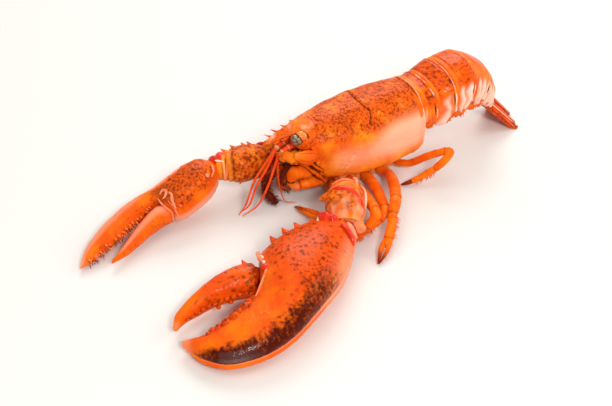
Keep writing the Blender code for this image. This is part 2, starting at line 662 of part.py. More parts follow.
def main():
    clear_scene()
    make_carapace()
    make_sternum()
    for side in ("left", "right"):
        make_eye(side)
        make_antenna_base(side)
        make_antennule(side)
        make_maxilliped(side)
    make_mouthparts()
    make_tail()
    for name, spec in BLADES.items():
        make_blade(name, *spec)
    make_swimmerets()
    for prefix, arm in ARMS.items():
        make_arm(prefix, arm)
    make_legs()


main()
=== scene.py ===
import math

import bpy
import numpy as np
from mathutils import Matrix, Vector


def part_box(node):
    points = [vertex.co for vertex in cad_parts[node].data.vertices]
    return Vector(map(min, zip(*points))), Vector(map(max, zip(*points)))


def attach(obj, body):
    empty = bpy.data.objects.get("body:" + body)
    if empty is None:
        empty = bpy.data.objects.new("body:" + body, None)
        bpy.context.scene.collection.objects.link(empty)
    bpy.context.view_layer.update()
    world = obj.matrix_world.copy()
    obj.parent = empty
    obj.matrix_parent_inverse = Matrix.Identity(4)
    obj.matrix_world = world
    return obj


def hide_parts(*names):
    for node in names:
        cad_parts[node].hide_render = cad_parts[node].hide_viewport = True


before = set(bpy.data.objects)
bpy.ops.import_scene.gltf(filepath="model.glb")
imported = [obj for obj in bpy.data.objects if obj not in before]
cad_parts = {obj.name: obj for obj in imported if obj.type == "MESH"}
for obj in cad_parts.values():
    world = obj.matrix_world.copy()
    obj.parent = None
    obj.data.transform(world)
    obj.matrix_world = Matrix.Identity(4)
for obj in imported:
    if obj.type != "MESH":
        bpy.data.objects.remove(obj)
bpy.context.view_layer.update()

# ---- Back shell --------------------------------------------------------------------------
# The carapace is one hard piece over head and chest: a calcified shell, boiled orange and still
# wet. A thorned beak ends it in front, and a deep furrow crosses it where head meets chest.

MM = 0.001                      # the lobster's sizes are in mm until piece() turns them into metres
shell_low, shell_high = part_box("carapace")
# the middle plane, the rear edge of the back shell and the ground, which all sizes in mm start from
HOME = np.array([(shell_low.x + shell_high.x) / 2, shell_high.y, 0.0])

# stations along the back in mm: y, half width, top z, lower edge z
BACK = ((-94, 14.5, 54.6, 22), (-80, 20, 56.6, 15.2), (-62, 24.8, 59.4, 11.8), (-42, 26.8, 61.8, 10.5),
        (-20, 26.6, 62.8, 11.2), (0, 24.6, 61.5, 15))
WIDEST_Z, WIDEST_HALF, WIDEST_DEEP = 37.0, 27, 26
UPPER_POWER, LOWER_POWER = 2.25, 4.8
FRONT_TOP_Y, FRONT_LOW_Y, REAR_LOW_Y, REAR_CURL = -93.5, -79.5, -15.0, 0.62
# the furrow between head and chest: its y at each height
FURROW_Z = (12, 26.2, 35.7, 43.4, 48.9, 54.2, 58.8, 60.8, 62.5)
FURROW_Y = (-73, -64.6, -58.8, -53.5, -47.5, -44.3, -41.0, -43.0, -44.5)
FURROW_DOTS = 3.1               # mm between the dents that the furrow breaks into low on the side
LIP_ROWS = 4


def linear(code):
    """sRGB hex to linear: c / 12.92 when dark, else ((c + 0.055) / 1.055) ^ 2.4 for each channel."""
    c = np.array([int(code[i:i + 2], 16) for i in (1, 3, 5)]) / 255
    return (*np.where(c <= 0.04045, c / 12.92, ((c + 0.055) / 1.055) ** 2.4), 1.0)


def node(tree, kind, inputs=(), stops=(), **settings):
    """Adds a node with its settings; each (socket, value) is a number, a colour or a link."""
    made = tree.nodes.new("ShaderNode" + kind)
    for key, value in settings.items():
        setattr(made, key, value)
    for place, (position, code) in enumerate(stops):
        ramp = made.color_ramp.elements
        stop = ramp[place] if place < 2 else ramp.new(position)
        stop.position = position
        stop.color = linear(code)
    for socket, value in inputs:
        if isinstance(value, bpy.types.NodeSocket):
            tree.links.new(value, made.inputs[socket])
        else:
            made.inputs[socket].default_value = value
    return made


def unit(v):
    """Vectors divided by their length."""
    v = np.asarray(v, float)
    return v / np.maximum(np.linalg.norm(v, axis=-1, keepdims=True), 1e-9)


def ease(x, start, end):
    """0 before start, 1 after end, and 3t^2 - 2t^3 between."""
    t = np.clip((x - start) / (end - start), 0, 1)
    return t * t * (3 - 2 * t)


def hump(x, centre, width):
    """A bell curve, exp(-((x - centre) / width)^2)."""
    return np.exp(-((x - centre) / width) ** 2)


def smooth(points, count):
    """A Catmull-Rom curve through the points at evenly timed places."""
    p = np.asarray(points, float)
    p = np.vstack([2 * p[0] - p[1], p, 2 * p[-1] - p[-2]])
    t = np.linspace(0, len(p) - 3, count)
    i = np.minimum(t.astype(int), len(p) - 4)
    f = (t - i)[:, None]
    a, b, c, d = p[i], p[i + 1], p[i + 2], p[i + 3]
    return 0.5 * (2 * b + (c - a) * f + (2 * a - 5 * b + 4 * c - d) * f ** 2
                  + (3 * b - a - 3 * c + d) * f ** 3)


def squared(angle, power):
    """Cosine and sine, each raised to 2 / power with its sign kept: a superellipse."""
    c, s = np.cos(angle), np.sin(angle)
    return np.sign(c) * np.abs(c) ** (2 / power), np.sign(s) * np.abs(s) ** (2 / power)


def running(line):
    """The length run along a line of points, 0 at its first one."""
    return np.concatenate([[0], np.cumsum(np.linalg.norm(np.diff(line, axis=0), axis=1))])


def even(profile, count):
    """Angles that space a closed profile evenly, by inverting its running length."""
    angle = np.linspace(0, 2 * math.pi, 4001)
    run = running(profile(angle))
    return np.interp((np.arange(count) + 0.5) / count * run[-1], run, angle)


def waves(p, size, seed):
    """Soft unevenness of spread 1: twelve summed sine waves near size mm long, in seeded directions."""
    rng = np.random.default_rng(seed)
    turns = unit(rng.normal(size=(12, 3))) * 2 * math.pi / (size * rng.uniform(0.7, 1.5, (12, 1)))
    return np.sin(p @ turns.T + rng.uniform(0, 2 * math.pi, 12)).sum(axis=-1) / math.sqrt(6)


def normals(grid):
    """Outward normals of a grid that closes around: the cross product of its two differences."""
    around = np.roll(grid, -1, axis=1) - np.roll(grid, 1, axis=1)
    n = unit(np.cross(around, np.gradient(grid, axis=0)))
    return n * np.sign((n * (grid - grid.mean(axis=1, keepdims=True))).sum())


def relief(grid, height):
    """The grid moved out along its normals by a height in mm at each point."""
    return grid + normals(grid) * np.asarray(height)[..., None]


def on_surface(grid, places):
    """The grid's own points nearest the places, and the outward direction at each of them."""
    flat = grid.reshape(-1, 3)
    near = [np.argmin(((flat - place) ** 2).sum(axis=1)) for place in np.atleast_2d(places)]
    return flat[near], normals(grid).reshape(-1, 3)[near]


def above(points, lowest):
    """The points, none of them lower than lowest mm over the table."""
    points[..., 2] = np.maximum(points[..., 2], lowest)
    return points


def closed(grid, **masks):
    """A closed part from rows of points once round: quads between rows, a fan over each end row."""
    rows, cols = grid.shape[:2]
    index = np.arange(rows * cols).reshape(rows, cols)
    a, b = index[:-1], index[1:]
    quads = np.stack([a, np.roll(a, -1, 1), np.roll(b, -1, 1), b], axis=-1).reshape(-1, 4)
    poles = np.full(cols, rows * cols)
    tris = np.vstack([np.stack([np.roll(index[0], -1), index[0], poles], axis=-1),
                      np.stack([index[-1], np.roll(index[-1], -1), poles + 1], axis=-1)])
    points = np.vstack([grid.reshape(-1, 3), grid[0].mean(axis=0), grid[-1].mean(axis=0)])
    flat = {}
    for key, value in masks.items():
        value = np.broadcast_to(value, (rows, cols))
        flat[key] = np.concatenate([value.ravel(), [value[0].mean(), value[-1].mean()]])
    # a negative volume means that the faces point inwards, so they are turned round
    corners = np.vstack([quads[:, :3], quads[:, [0, 2, 3]], tris])
    p = points[corners] - points.mean(axis=0)
    if (p[:, 0] * np.cross(p[:, 1], p[:, 2])).sum() < 0:
        quads, tris = quads[:, ::-1], tris[:, ::-1]
    return points, quads, tris, flat


ASKEW = (0.31, 0.22, 0.93)      # a direction that no spike points in, to turn them from
BLUNT = 0.12                    # a spike's radius at its tip as a share of that at its foot
TABLE_GAP = 0.03                # mm between the lowest points and the table


def spikes(base, tip, radius, bend=0.0, rows=4, around=6, **masks):
    """Many closed cones in one part. Each one's middle line bows by bend times its length, and its
    radius falls from the foot to the blunt share of it as 1 - t^1.3. A mask is given at foot and tip."""
    base, tip = np.atleast_2d(base).astype(float), np.atleast_2d(tip).astype(float)
    count = len(base)
    axis = tip - base
    side = unit(np.cross(unit(axis), ASKEW))
    other = np.cross(unit(axis), side)
    t = np.linspace(0, 1, rows)[None, :, None, None]
    angle = (np.arange(around) / around * 2 * math.pi)[None, None, :, None]
    wide = np.broadcast_to(np.asarray(radius, float).reshape(-1, 1, 1, 1), (count, 1, 1, 1))
    wide = wide * (BLUNT + (1 - BLUNT) * (1 - t ** 1.3))
    bow = np.asarray(bend, float) * 4 * t * (1 - t) * np.linalg.norm(axis, axis=1)[:, None, None, None]
    grid = (base[:, None, None] + axis[:, None, None] * t + bow * np.array([0, 0, 1.0])
            + wide * (np.cos(angle) * side[:, None, None] + np.sin(angle) * other[:, None, None]))
    points, quads, tris, _ = closed(grid[0])
    step = np.arange(count)[:, None, None] * len(points)
    ends = np.stack([grid[:, 0].mean(axis=1), grid[:, -1].mean(axis=1)], axis=1)
    every = np.concatenate([grid.reshape(count, -1, 3), ends], axis=1).reshape(-1, 3)
    share = np.concatenate([np.repeat(np.linspace(0, 1, rows), around), [0, 1]])
    flat = {key: np.tile(np.interp(share, (0, 1), value), count) for key, value in masks.items()}
    return every, (quads + step).reshape(-1, 4), (tris + step).reshape(-1, 3), flat


def piece(name, parts, material, slot, *nodes):
    """Joins closed parts into one smooth object in place, with masks as attributes, riding on the
    body. Nothing reaches below the table."""
    steps = np.cumsum([0] + [len(part[0]) for part in parts])
    quads = np.vstack([part[1] + step for part, step in zip(parts, steps)])
    tris = np.vstack([part[2] + step for part, step in zip(parts, steps)])
    mesh = bpy.data.meshes.new(name)
    mesh.vertices.add(steps[-1])
    places = above(np.vstack([part[0] for part in parts]), TABLE_GAP) * MM + HOME
    mesh.vertices.foreach_set("co", places.astype(np.float32).ravel())
    loops = np.concatenate([quads.ravel(), tris.ravel()])
    mesh.loops.add(len(loops))
    mesh.loops.foreach_set("vertex_index", loops.astype(np.int32))
    mesh.polygons.add(len(quads) + len(tris))
    starts = np.concatenate([np.arange(len(quads)) * 4, len(quads) * 4 + np.arange(len(tris)) * 3])
    mesh.polygons.foreach_set("loop_start", starts.astype(np.int32))
    mesh.update(calc_edges=True)
    mesh.shade_smooth()
    for key in ("spots", "dark", "pale"):
        values = [part[3].get(key, np.zeros(len(part[0]))) for part in parts]
        layer = mesh.attributes.new(key, "FLOAT", "POINT")
        layer.data.foreach_set("value", np.concatenate(values).astype(np.float32))
    mesh.materials.append(material)
    made = bpy.data.objects.new(name, mesh)
    bpy.context.scene.collection.objects.link(made)
    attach(made, "root")
    if nodes:
        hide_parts(*nodes)


def blank(name):
    """A new material with its node tree and its shader."""
    made = bpy.data.materials.new(name)
    made.use_nodes = True
    return made, made.node_tree, made.node_tree.nodes["Principled BSDF"]


def boiled_shell(name, base, deep, brown, pale, dark, mottle=2.2, blotch=11.0, dots=0.0, flecked=0.38,
                 rough=0.33, pits=1.1, pit_depth=0.10, coat=0.05, wet=0.0, ragged=0.55):
    """Calcified shell, boiled and wet: two clouded oranges, brown flecks where the spots mask is,
    round dots dots mm apart, and the pale and dark masks with uneven borders. The film of water is
    coat strong, and wet strong where the dark mask is full. Sizes are in mm."""
    made, tree, shader = blank(name)
    place = node(tree, "TexCoord").outputs["Object"]
    spots, darks, pales = (node(tree, "Attribute", attribute_name=key).outputs["Fac"]
                           for key in ("spots", "dark", "pale"))
    cloud = node(tree, "TexNoise", [("Vector", place), ("Scale", 1000 / blotch), ("Detail", 4.0)])
    fleck = node(tree, "TexNoise", [("Vector", place), ("Scale", 1000 / mottle), ("Detail", 5.0),
                                    ("Roughness", 0.62)])
    # the more flecks the shell has, the deeper its red
    tone = node(tree, "Math", [(0, spots), (1, 0.22), (2, cloud.outputs["Fac"])], operation="MULTIPLY_ADD")
    ground = node(tree, "ValToRGB", [("Fac", tone.outputs[0])], [(0.36, base), (0.68, deep)])
    # flecks: the fine noise where it is high, more of it where the mask and the clouds are strong
    patchy = node(tree, "MapRange", [("Value", cloud.outputs["Fac"]), ("From Min", 0.3), ("From Max", 0.7),
                                      ("To Min", 0.7)])
    cover = node(tree, "Math", [(0, spots), (1, patchy.outputs[0])], operation="MULTIPLY")
    level = node(tree, "Math", [(0, cover.outputs[0]), (1, flecked), (2, fleck.outputs["Fac"])],
                 operation="MULTIPLY_ADD")
    flecks = node(tree, "MapRange", [("Value", level.outputs[0]), ("From Min", 0.70), ("From Max", 0.98)],
                  interpolation_type="SMOOTHSTEP")
    colour = node(tree, "Mix", [(0, flecks.outputs[0]), (6, ground.outputs["Color"]), (7, linear(brown))],
                  data_type="RGBA").outputs[2]
    if dots:
        # one dot in each cell dots mm wide, its place shifted by the fine noise so that none is round
        warp = node(tree, "Mix", [(0, 0.004), (6, place), (7, fleck.outputs["Color"])], data_type="RGBA")
        cell = node(tree, "TexVoronoi", [("Vector", warp.outputs[2]), ("Scale", 1000 / dots),
                                         ("Randomness", 0.85)])
        ring = node(tree, "MapRange", [("Value", cell.outputs["Distance"]), ("From Min", 0.44),
                                       ("From Max", 0.14)], interpolation_type="SMOOTHSTEP")
        pick = node(tree, "Math", [(0, ring.outputs[0]), (1, spots)], operation="MULTIPLY")
        colour = node(tree, "Mix", [(0, pick.outputs[0]), (6, colour), (7, linear(brown))],
                      data_type="RGBA").outputs[2]
    # the two masks, their borders moved by the fine noise
    for mask, code, spread in ((pales, pale, 0.30), (darks, dark, ragged)):
        edge = node(tree, "Math", [(0, fleck.outputs["Fac"]), (1, -0.5)], operation="ADD")
        moved = node(tree, "Math", [(0, edge.outputs[0]), (1, spread), (2, mask)], operation="MULTIPLY_ADD")
        share = node(tree, "MapRange", [("Value", moved.outputs[0]), ("From Min", 0.12), ("From Max", 0.9)],
                     interpolation_type="SMOOTHSTEP")
        colour = node(tree, "Mix", [(0, share.outputs[0]), (6, colour), (7, linear(code))],
                      data_type="RGBA").outputs[2]
    tree.links.new(colour, shader.inputs["Base Color"])
    gloss = node(tree, "MapRange", [("Value", fleck.outputs["Fac"]), ("From Min", 0.3), ("From Max", 0.7),
                                    ("To Min", rough - 0.06), ("To Max", rough + 0.09)])
    tree.links.new(gloss.outputs[0], shader.inputs["Roughness"])
    pore = node(tree, "TexVoronoi", [("Vector", place), ("Scale", 1000 / pits)], feature="SMOOTH_F1")
    grain = node(tree, "Math", [(0, fleck.outputs["Fac"]), (1, 1.2), (2, pore.outputs["Distance"])],
                 operation="MULTIPLY_ADD")
    bump = node(tree, "Bump", [("Height", grain.outputs[0]), ("Distance", pit_depth * MM),
                               ("Strength", 0.9)])
    tree.links.new(bump.outputs["Normal"], shader.inputs["Normal"])
    tree.links.new(bump.outputs["Normal"], shader.inputs["Coat Normal"])
    shader.inputs["Specular IOR Level"].default_value = 0.10
    shader.inputs["Specular Tint"].default_value = linear("#FFC49A")
    shader.inputs["Coat Weight"].default_value = coat
    if wet:
        film = node(tree, "MapRange", [("Value", darks), ("From Min", 0.90), ("From Max", 0.98),
                                       ("To Min", coat), ("To Max", wet)])
        tree.links.new(film.outputs[0], shader.inputs["Coat Weight"])
    shader.inputs["Coat Roughness"].default_value = 0.14
    return made


def hoop_shape(angle):
    """Across and up shares of a hoop: rounded above the widest height, squarer below it."""
    c_up, s_up = squared(angle, UPPER_POWER)
    c_low, s_low = squared(angle, LOWER_POWER)
    upper = np.cos(angle) >= 0
    return np.where(upper, s_up, s_low), np.where(upper, c_up, c_low), upper


def back_profile(angle):
    """The widest cross-section in mm, by which the points around are spaced."""
    across, up, _ = hoop_shape(angle)
    return np.stack([WIDEST_HALF * across, WIDEST_DEEP * up], axis=1)


def back_grid(rows, around):
    """Rows from the front margin to the rear one, closer toward both, and the distance to the rear."""
    angle = even(back_profile, around)
    t = np.linspace(0, 1, rows)
    share = (0.35 * t + 0.65 * (1 - np.cos(math.pi * t)) / 2)[:, None]
    low = (1 - np.cos(angle)) / 2
    front = FRONT_TOP_Y + (FRONT_LOW_Y - FRONT_TOP_Y) * low
    rear = REAR_LOW_Y * np.clip((low - REAR_CURL) / (1 - REAR_CURL), 0, 1) ** 1.6
    y = front + (rear - front) * share
    line = smooth(BACK, 90)
    half, top, edge = (np.interp(y, line[:, 0], line[:, k]) for k in (1, 2, 3))
    across, up, upper = hoop_shape(angle)
    z = WIDEST_Z + np.where(upper, top - WIDEST_Z, WIDEST_Z - edge) * up
    return np.stack([half * across, y, z], axis=2), rear - y, y - front


grid, to_rear, to_front = back_grid(180, 216)
x, y, z = np.moveaxis(grid, 2, 0)
below = ease(z, 17, 12) * ease(np.abs(x), 26, 21)               # the closed underside of the shell
furrow_y = np.interp(z, FURROW_Z, FURROW_Y)
dotted = 0.35 + 0.35 * np.sin(z * 2 * math.pi / FURROW_DOTS) * ease(z, 50, 46)
furrow = hump(y, furrow_y, 0.75) * (dotted + 0.65 * ease(z, 48, 54)) * (1 - below)
behind = hump(y, furrow_y + 2.0, 1.5) * (1 - below)
cheek = hump(y, -69 + 0.35 * (z - 27), 1.1) * hump(z, 27, 8) * (1 - below)
# in mm: the furrow, the low swell behind it and the cheek's groove; a bead and a groove along both
# margins; fine and broad unevenness; the sunk underside; and the seam along the middle of the back
height = (-1.25 * furrow + 0.25 * behind - 0.25 * cheek
          + 0.55 * hump(to_rear, 1.0, 0.7) - 0.75 * hump(to_rear, 3.2, 0.9)
          + 0.4 * hump(to_front, 0.8, 0.6) - 0.4 * hump(to_front, 2.6, 0.8)
          + 0.05 * waves(grid, 3.0, 3) + 0.12 * waves(grid, 17, 5) - 3.0 * below
          - 0.35 * hump(x, 0, 0.7) * ease(z, 50, 56))
shaped = relief(grid, height)


def lip(edge, inward, deep, run):
    """Rows that turn a margin in: the edge drawn toward its middle by inward mm, then deep inside."""
    middle = edge.mean(axis=0)
    turn = unit((middle - edge) * (1, 0, 1))
    inner = edge + turn * inward
    floor_row = middle + (inner - middle) * 0.55 + np.array([0, run, 0])
    return [edge + turn * inward * 0.5 - np.array([0, 0.12 * run / abs(run), 0]), inner,
            inner + turn * deep * 0.3 + np.array([0, run * 0.6, 0]), floor_row]


grid = np.concatenate([lip(shaped[0], 1.0, 2.0, 5.0)[::-1], shaped, lip(shaped[-1], 1.2, 2.0, -6.0)])
lips = ((LIP_ROWS, LIP_ROWS), (0, 0))
# brown flecks over the top and the cheeks, fewer toward the rear of the sides
spots = np.maximum(ease(z, 36, 52), 0.55 * ease(z, 24, 38) * ease(y, -52, -66))
spots = spots * (1 - 0.45 * ease(y, -30, -4) * ease(z, 56, 46))
# pale: painted sheen in pink on the rear sides and cheeks, where the side mirrors the pale table; the specks
# along the furrow and the pale rear rim are the shell's own
specks = hump(y, furrow_y + 0.6, 1.0) * ease(waves(shaped, 4.3, 14), 0.1, 1.4) * ease(z, 53, 50)
pale = (0.8 * ease(y, -52, -20) * hump(z, 41, 11) + 0.45 * specks + 0.7 * hump(to_rear, 0.7, 0.6)
        + 0.56 * hump(z, 32, 12) * ease(y, -86, -66))
# dark: painted shade in the furrow, in the groove along the rear margin and in the cheek's groove, and on the
# rows turned in under the front margin
dark = (furrow * (0.3 + 0.5 * ease(z, 52, 57)) + 0.35 * hump(to_rear, 3.2, 0.7) * ease(z, 44, 58)
        + 0.25 * cheek)
dark = np.pad(dark, lips)
dark[:LIP_ROWS - 1] = 0.8
carapace_parts = [closed(grid, spots=np.pad(spots, lips), dark=dark, pale=np.pad(pale, lips, mode="edge"))]

# the beak: a flat tapering point with a channel along its top
ROSTRUM = ((0, -82, 54.2), (0, -92, 53.8), (0, -102, 52.2), (0, -111, 50.0), (0, -118.5, 47.4))
ROSTRUM_HALF = (8.8, 6.6, 4.6, 3.0, 0.7)


def tube(path, radii, rows, around, flat=1.0, power=2.0, up=(0, 0, 1)):
    """A profile along a smooth path: a superellipse of the given radius, its height times flat."""
    line = smooth(path, rows)
    size = smooth(np.reshape(radii, (-1, 1)), rows)
    along = unit(np.gradient(line, axis=0))
    side = unit(np.cross(along, up))
    top = np.cross(side, along)
    c, s = squared(np.arange(around) / around * 2 * math.pi, power)
    return (line[:, None] + size[:, None] * (c[None, :, None] * side[:, None]
                                            + flat * s[None, :, None] * top[:, None]))


beak = tube(ROSTRUM, ROSTRUM_HALF, 60, 40, flat=0.5)
channel = hump(beak[..., 0], 0, 1.3) * (beak[..., 2] > beak[..., 2].mean(axis=1, keepdims=True))
beak = relief(beak, -0.8 * channel + 0.12 * waves(beak, 2.5, 8))
# the channel is a little darker: painted shade
carapace_parts.append(closed(beak, spots=0.8, dark=0.15 * channel, pale=0.12 + 0.2 * waves(beak, 9, 12)))
thorn_y = np.array([-88.5, -95.4, -102.0, -108.0])
thorn_half, thorn_z = (np.interp(-thorn_y, (82, 92, 102, 111, 118.5), k)
                       for k in ((7.9, 6.0, 4.1, 2.5, 0.6), (53.5, 52.8, 51.0, 48.8, 46.4)))
for side in (1, -1):
    foot = np.stack([side * thorn_half, thorn_y, thorn_z], axis=1)
    reach = np.array([side * 3.4, -5.4, 1.6]) * np.array([0.55, 0.9, 1.1, 1.0])[:, None]
    carapace_parts.append(spikes(foot - reach * 0.3, foot + reach, 1.5, bend=-0.07, rows=8, around=12,
                                 dark=(0.0, 0.3), spots=(0.8, 0.6)))
    # a thorn behind the eye socket, a small one on top of the head and one on the cheek
    feet = np.array([(15.8, -88, 50), (1.5, -77, 58), (18, -85, 32)]) * (side, 1, 1)
    foot, outward = on_surface(shaped, feet)
    out = unit(outward + (0, -1.3, 0.15)) * np.array([2.6, 1.3, 2.0])[:, None]
    carapace_parts.append(spikes(foot - out * 0.35, foot + out, 1.1, rows=7, around=10, dark=(0.0, 0.2)))

head_shell = boiled_shell("boiled_back_shell", "#FF9A20", "#EC5E10", "#8E2C06", "#FFB490", "#4E1204",
                          mottle=1.8, blotch=14, flecked=0.36, rough=0.36, pits=1.5, pit_depth=0.10)
piece("back_shell", carapace_parts, head_shell, "head_shell", "carapace")

# ---- Underside ---------------------------------------------------------------------------
# The sternum: pale plates fused between the legs' roots, with a furrow along the middle and one
# between each pair of legs. It is the flat face that the lobster rests on.

STERNUM = ((0, -80, 6.0), (0, -62, 5.0), (0, -40, 4.6), (0, -18, 4.8), (0, -8, 6.0))
STERNUM_HALF = (8.0, 13.4, 13.6, 12.0, 7.0)
SEAMS_Y = (-65, -50.5, -37.5, -23.5)

plates = tube(STERNUM, STERNUM_HALF, 120, 72, flat=0.42, power=4.0)
plates[..., 2] = np.clip(plates[..., 2], 0.05, 10.1)
x, y, z = np.moveaxis(plates, 2, 0)
between = sum(hump(y, seam, 1.0) for seam in SEAMS_Y)
flat_part = 1 - ease(z, 1.5, 0.4)
plates = relief(plates, -0.9 * between * flat_part)
underside_shell = boiled_shell("boiled_underside_plate", "#F7A15C", "#EE7E38", "#C65A1C", "#FFD0A6",
                               "#8A3410", mottle=3.0, rough=0.45, pits=2.0)
piece("underside_plates", [closed(plates, spots=0.3, pale=0.5 * hump(x, 0, 5), dark=0.5 * between)],
      underside_shell, "underside", "sternum")

# ---- Eyes --------------------------------------------------------------------------------
# A glossy ball on a short stalk in its socket: the cooked cornea has gone pearly grey, and the
# stalk's cap is orange shell. Two dark cords round it are painted shade: the shadow line round the eye.

EYES = {"left": (11.8, -99.0, 54.2), "right": (-8.8, -98.4, 45.4)}


def ball(centre, radii, axes=None, rows=20, around=28):
    """An ellipsoid from pole to pole in even steps of latitude, on the given axes."""
    lat = (np.arange(rows) + 0.5) / rows * math.pi
    lon = np.arange(around) / around * 2 * math.pi
    local = np.stack([np.outer(np.sin(lat), np.cos(lon)), np.outer(np.sin(lat), np.sin(lon)),
                      np.outer(np.cos(lat), np.ones(around))], axis=2) * radii
    return np.asarray(centre, float) + (local if axes is None else local @ np.asarray(axes))


def facing(direction):
    """Three axes as rows, the last one along the direction."""
    last = unit(direction)
    first = unit(np.cross((0.13, 0.21, 0.97), last))
    return np.stack([first, np.cross(last, first), last])


def hoop(centre, axis, radius, thick, **masks):
    """A ring of round cord about an axis."""
    a, b, _ = facing(axis)
    t = np.radians(np.linspace(0, 360, 25))[:, None]
    path = np.asarray(centre) + radius * (np.cos(t) * a + np.sin(t) * b)
    return closed(tube(path, (thick,) * 4, 48, 10, up=axis), **masks)


cornea, tree, shader = blank("cooked_cornea")     # pearly with grey-gold flecks under a wet film
place = node(tree, "TexCoord").outputs["Object"]
fleck = node(tree, "TexNoise", [("Vector", place), ("Scale", 1000 / 1.6), ("Detail", 4.0)])
tint = node(tree, "ValToRGB", [("Fac", fleck.outputs["Fac"])],
            [(0.34, "#2C1A0C"), (0.48, "#6E4A26"), (0.60, "#968468"), (0.70, "#94622A")])
tree.links.new(tint.outputs["Color"], shader.inputs["Base Color"])
sheen = node(tree, "MapRange", [("Value", fleck.outputs["Fac"]), ("To Min", 0.12), ("To Max", 0.34)])
tree.links.new(sheen.outputs[0], shader.inputs["Roughness"])
shader.inputs["Coat Weight"].default_value = 1.0
shader.inputs["Coat Roughness"].default_value = 0.05

stalk_shell = boiled_shell("glossy_eye_stalk", "#FA8A28", "#F07018", "#A04008", "#FFB070", "#7A2A08",
                           mottle=1.6, blotch=5, rough=0.18, pits=1.0, pit_depth=0.01, coat=1.0)
stalk_shell.node_tree.nodes["Principled BSDF"].inputs["Coat Roughness"].default_value = 0.06
# dark brown for the painted shadow round the eye
eye_shadow_cords = boiled_shell("eye_rim_painted_shadow", "#7E2E0E", "#5A1E08", "#2A0C05", "#C0703A", "#1E0804",
                           mottle=1.5, blotch=4, rough=0.30, pits=0.8, coat=0.5)
for word, side in (("left", 1), ("right", -1)):
    centre = np.array(EYES[word])
    size = 1.0 if side > 0 else 0.8         # the right eye is drawn in further
    glass = ball(centre + (side * 0.3, 0.4, -1.7), np.array((4.3, 4.4, 3.5)) * size,
                 facing((side * 0.30, -0.83, -0.46)))
    piece("eye_ball_" + word, [closed(glass)], cornea, "eye", "eye_" + word)
    cap = ball(centre + (-side * 0.2, 4.2, -0.2), np.array((4.1, 3.9, 4.6)) * size,
               facing((0.2 * side, 1, 0)))
    orbit = ball(centre + (-side * 2.8, 9.0, -5.6), (7.6, 8.6, 7.4))
    orbit = relief(orbit, 0.1 * waves(orbit, 4, 4))
    piece("eye_stalk_" + word, [closed(cap, spots=0.15)], stalk_shell, "eye")
    piece("eye_orbit_" + word, [closed(orbit, spots=0.75, dark=0.05)], head_shell, "head_shell")
    # two dark cords round the eye as painted shade
    rims = [hoop(centre + (0, 2.4, -0.7), (0.1 * side, -0.9, -0.4), 3.9 * size, 0.35),
            hoop(centre + (side * 0.2, 4.4, -1.4), unit((side * 0.80, -0.52, 0.30)), 4.7 * size, 0.7)]
    piece("eye_socket_" + word, rims, eye_shadow_cords, "head_shell")

# ---- Antenna bases -----------------------------------------------------------------------
# The long feelers are gone; what is left on each side is three thick knobbly joints and the flat
# pointed scale that covers them from outside, set against the face.


def knob(centre, radii, toward, seed, **masks):
    """A lumpy joint: an ellipsoid with soft unevenness and a crease round its far end."""
    grid = ball(centre, radii, facing(toward), 26, 36)
    lat = np.linspace(0, 1, 26)[:, None]
    swell = 0.05 * min(radii) * waves(grid, 4.5, seed) - 0.4 * hump(lat, 0.22, 0.035)
    return closed(relief(grid, swell), **masks)


# each joint's centre and its radii across, up and along
KNOBS = (((12.5, -91.5, 36.0), (6.2, 6.6, 7.4)), ((12.0, -99.5, 38.0), (5.0, 5.2, 5.2)),
         ((11.6, -105.0, 41.0), (3.9, 3.6, 4.2)), ((10.8, -108.6, 40.2), (2.6, 2.7, 3.0)),
         ((13.4, -103.4, 38.4), (3.0, 2.6, 2.6)), ((10.4, -110.2, 44.0), (2.0, 1.8, 1.7)))
SCALE = ((16.8, -86.5, 37.6), (18.2, -91.5, 39.6), (17.6, -96.5, 41.0), (15.2, -101.8, 42.8))
for word, side, drop in (("left", 1, 0.0), ("right", -1, 3.4)):
    parts = []
    for seed, (centre, radii) in enumerate(KNOBS):
        centre = np.array(centre) * (side, 1, 1) - (0, 0, drop)
        parts.append(knob(centre, radii, (0, -1, 0.15), seed, spots=0.35, dark=0.35 * (seed % 2), pale=0.1))
    path = np.array(SCALE) * (side, 1, 1) - (0, 0, drop)
    leaf = tube(path, (3.2, 4.4, 4.2, 1.3), 48, 36, flat=0.36, power=2.2, up=(side * 0.85, -0.25, 0.42))
    edge = np.abs(np.cos(np.arange(36) / 36 * 2 * math.pi))[None, :]
    leaf = relief(leaf, 0.3 * ease(edge, 0.86, 1.0) - 0.4 * hump(edge, 0.62, 0.10) + 0.1 * waves(leaf, 3, 9))
    # the dark line along the groove inside the rim is painted shade
    parts.append(closed(leaf, spots=0.3, pale=0.25 * hump(edge, 0.3, 0.2), dark=0.5 * hump(edge, 0.66, 0.1)))
    piece("antenna_joints_" + word, parts, head_shell, "head_shell", "antenna_base_" + word)

# ---- Short feelers -----------------------------------------------------------------------
# Each antennule is a jointed stalk under the beak with two thin ringed whips, which have wilted
# to the ground in the pot.

FEELERS = {
    "left": [((5.4, -97, 44), (5.6, -104, 42.6), (6, -110.5, 38.5)),
             ((6, -109.5, 39), (8.2, -114.5, 31), (11.2, -120.6, 21.5), (11.4, -129, 8),
              (9.3, -139.9, 1.0)),
             ((6, -109.5, 38.5), (8.8, -111.5, 26), (11.2, -110.6, 12), (12.0, -107.2, 3.2),
              (13.4, -99.8, 0.7))],
    "right": [((-1.6, -97, 44.4), (-0.6, -105, 43.4), (2.4, -112.5, 39.5)),
              ((2, -111.5, 40), (4, -118.5, 35), (5.5, -128.6, 24), (6, -135.4, 8), (6.6, -141.6, 0.9)),
              ((2.6, -111.8, 39), (6.2, -119, 32), (8, -128, 21.5), (8.2, -134, 8), (4.6, -139.6, 0.9))],
}
WHIP_RING = 1.3                 # mm from ring to ring of a whip
feeler_shell = boiled_shell("wilted_feeler_shell", "#F85A1C", "#E83E0C", "#A01E06", "#FFC4A0", "#8A1806",
                            mottle=1.2, blotch=6, rough=0.30, pits=0.7, coat=0.1)
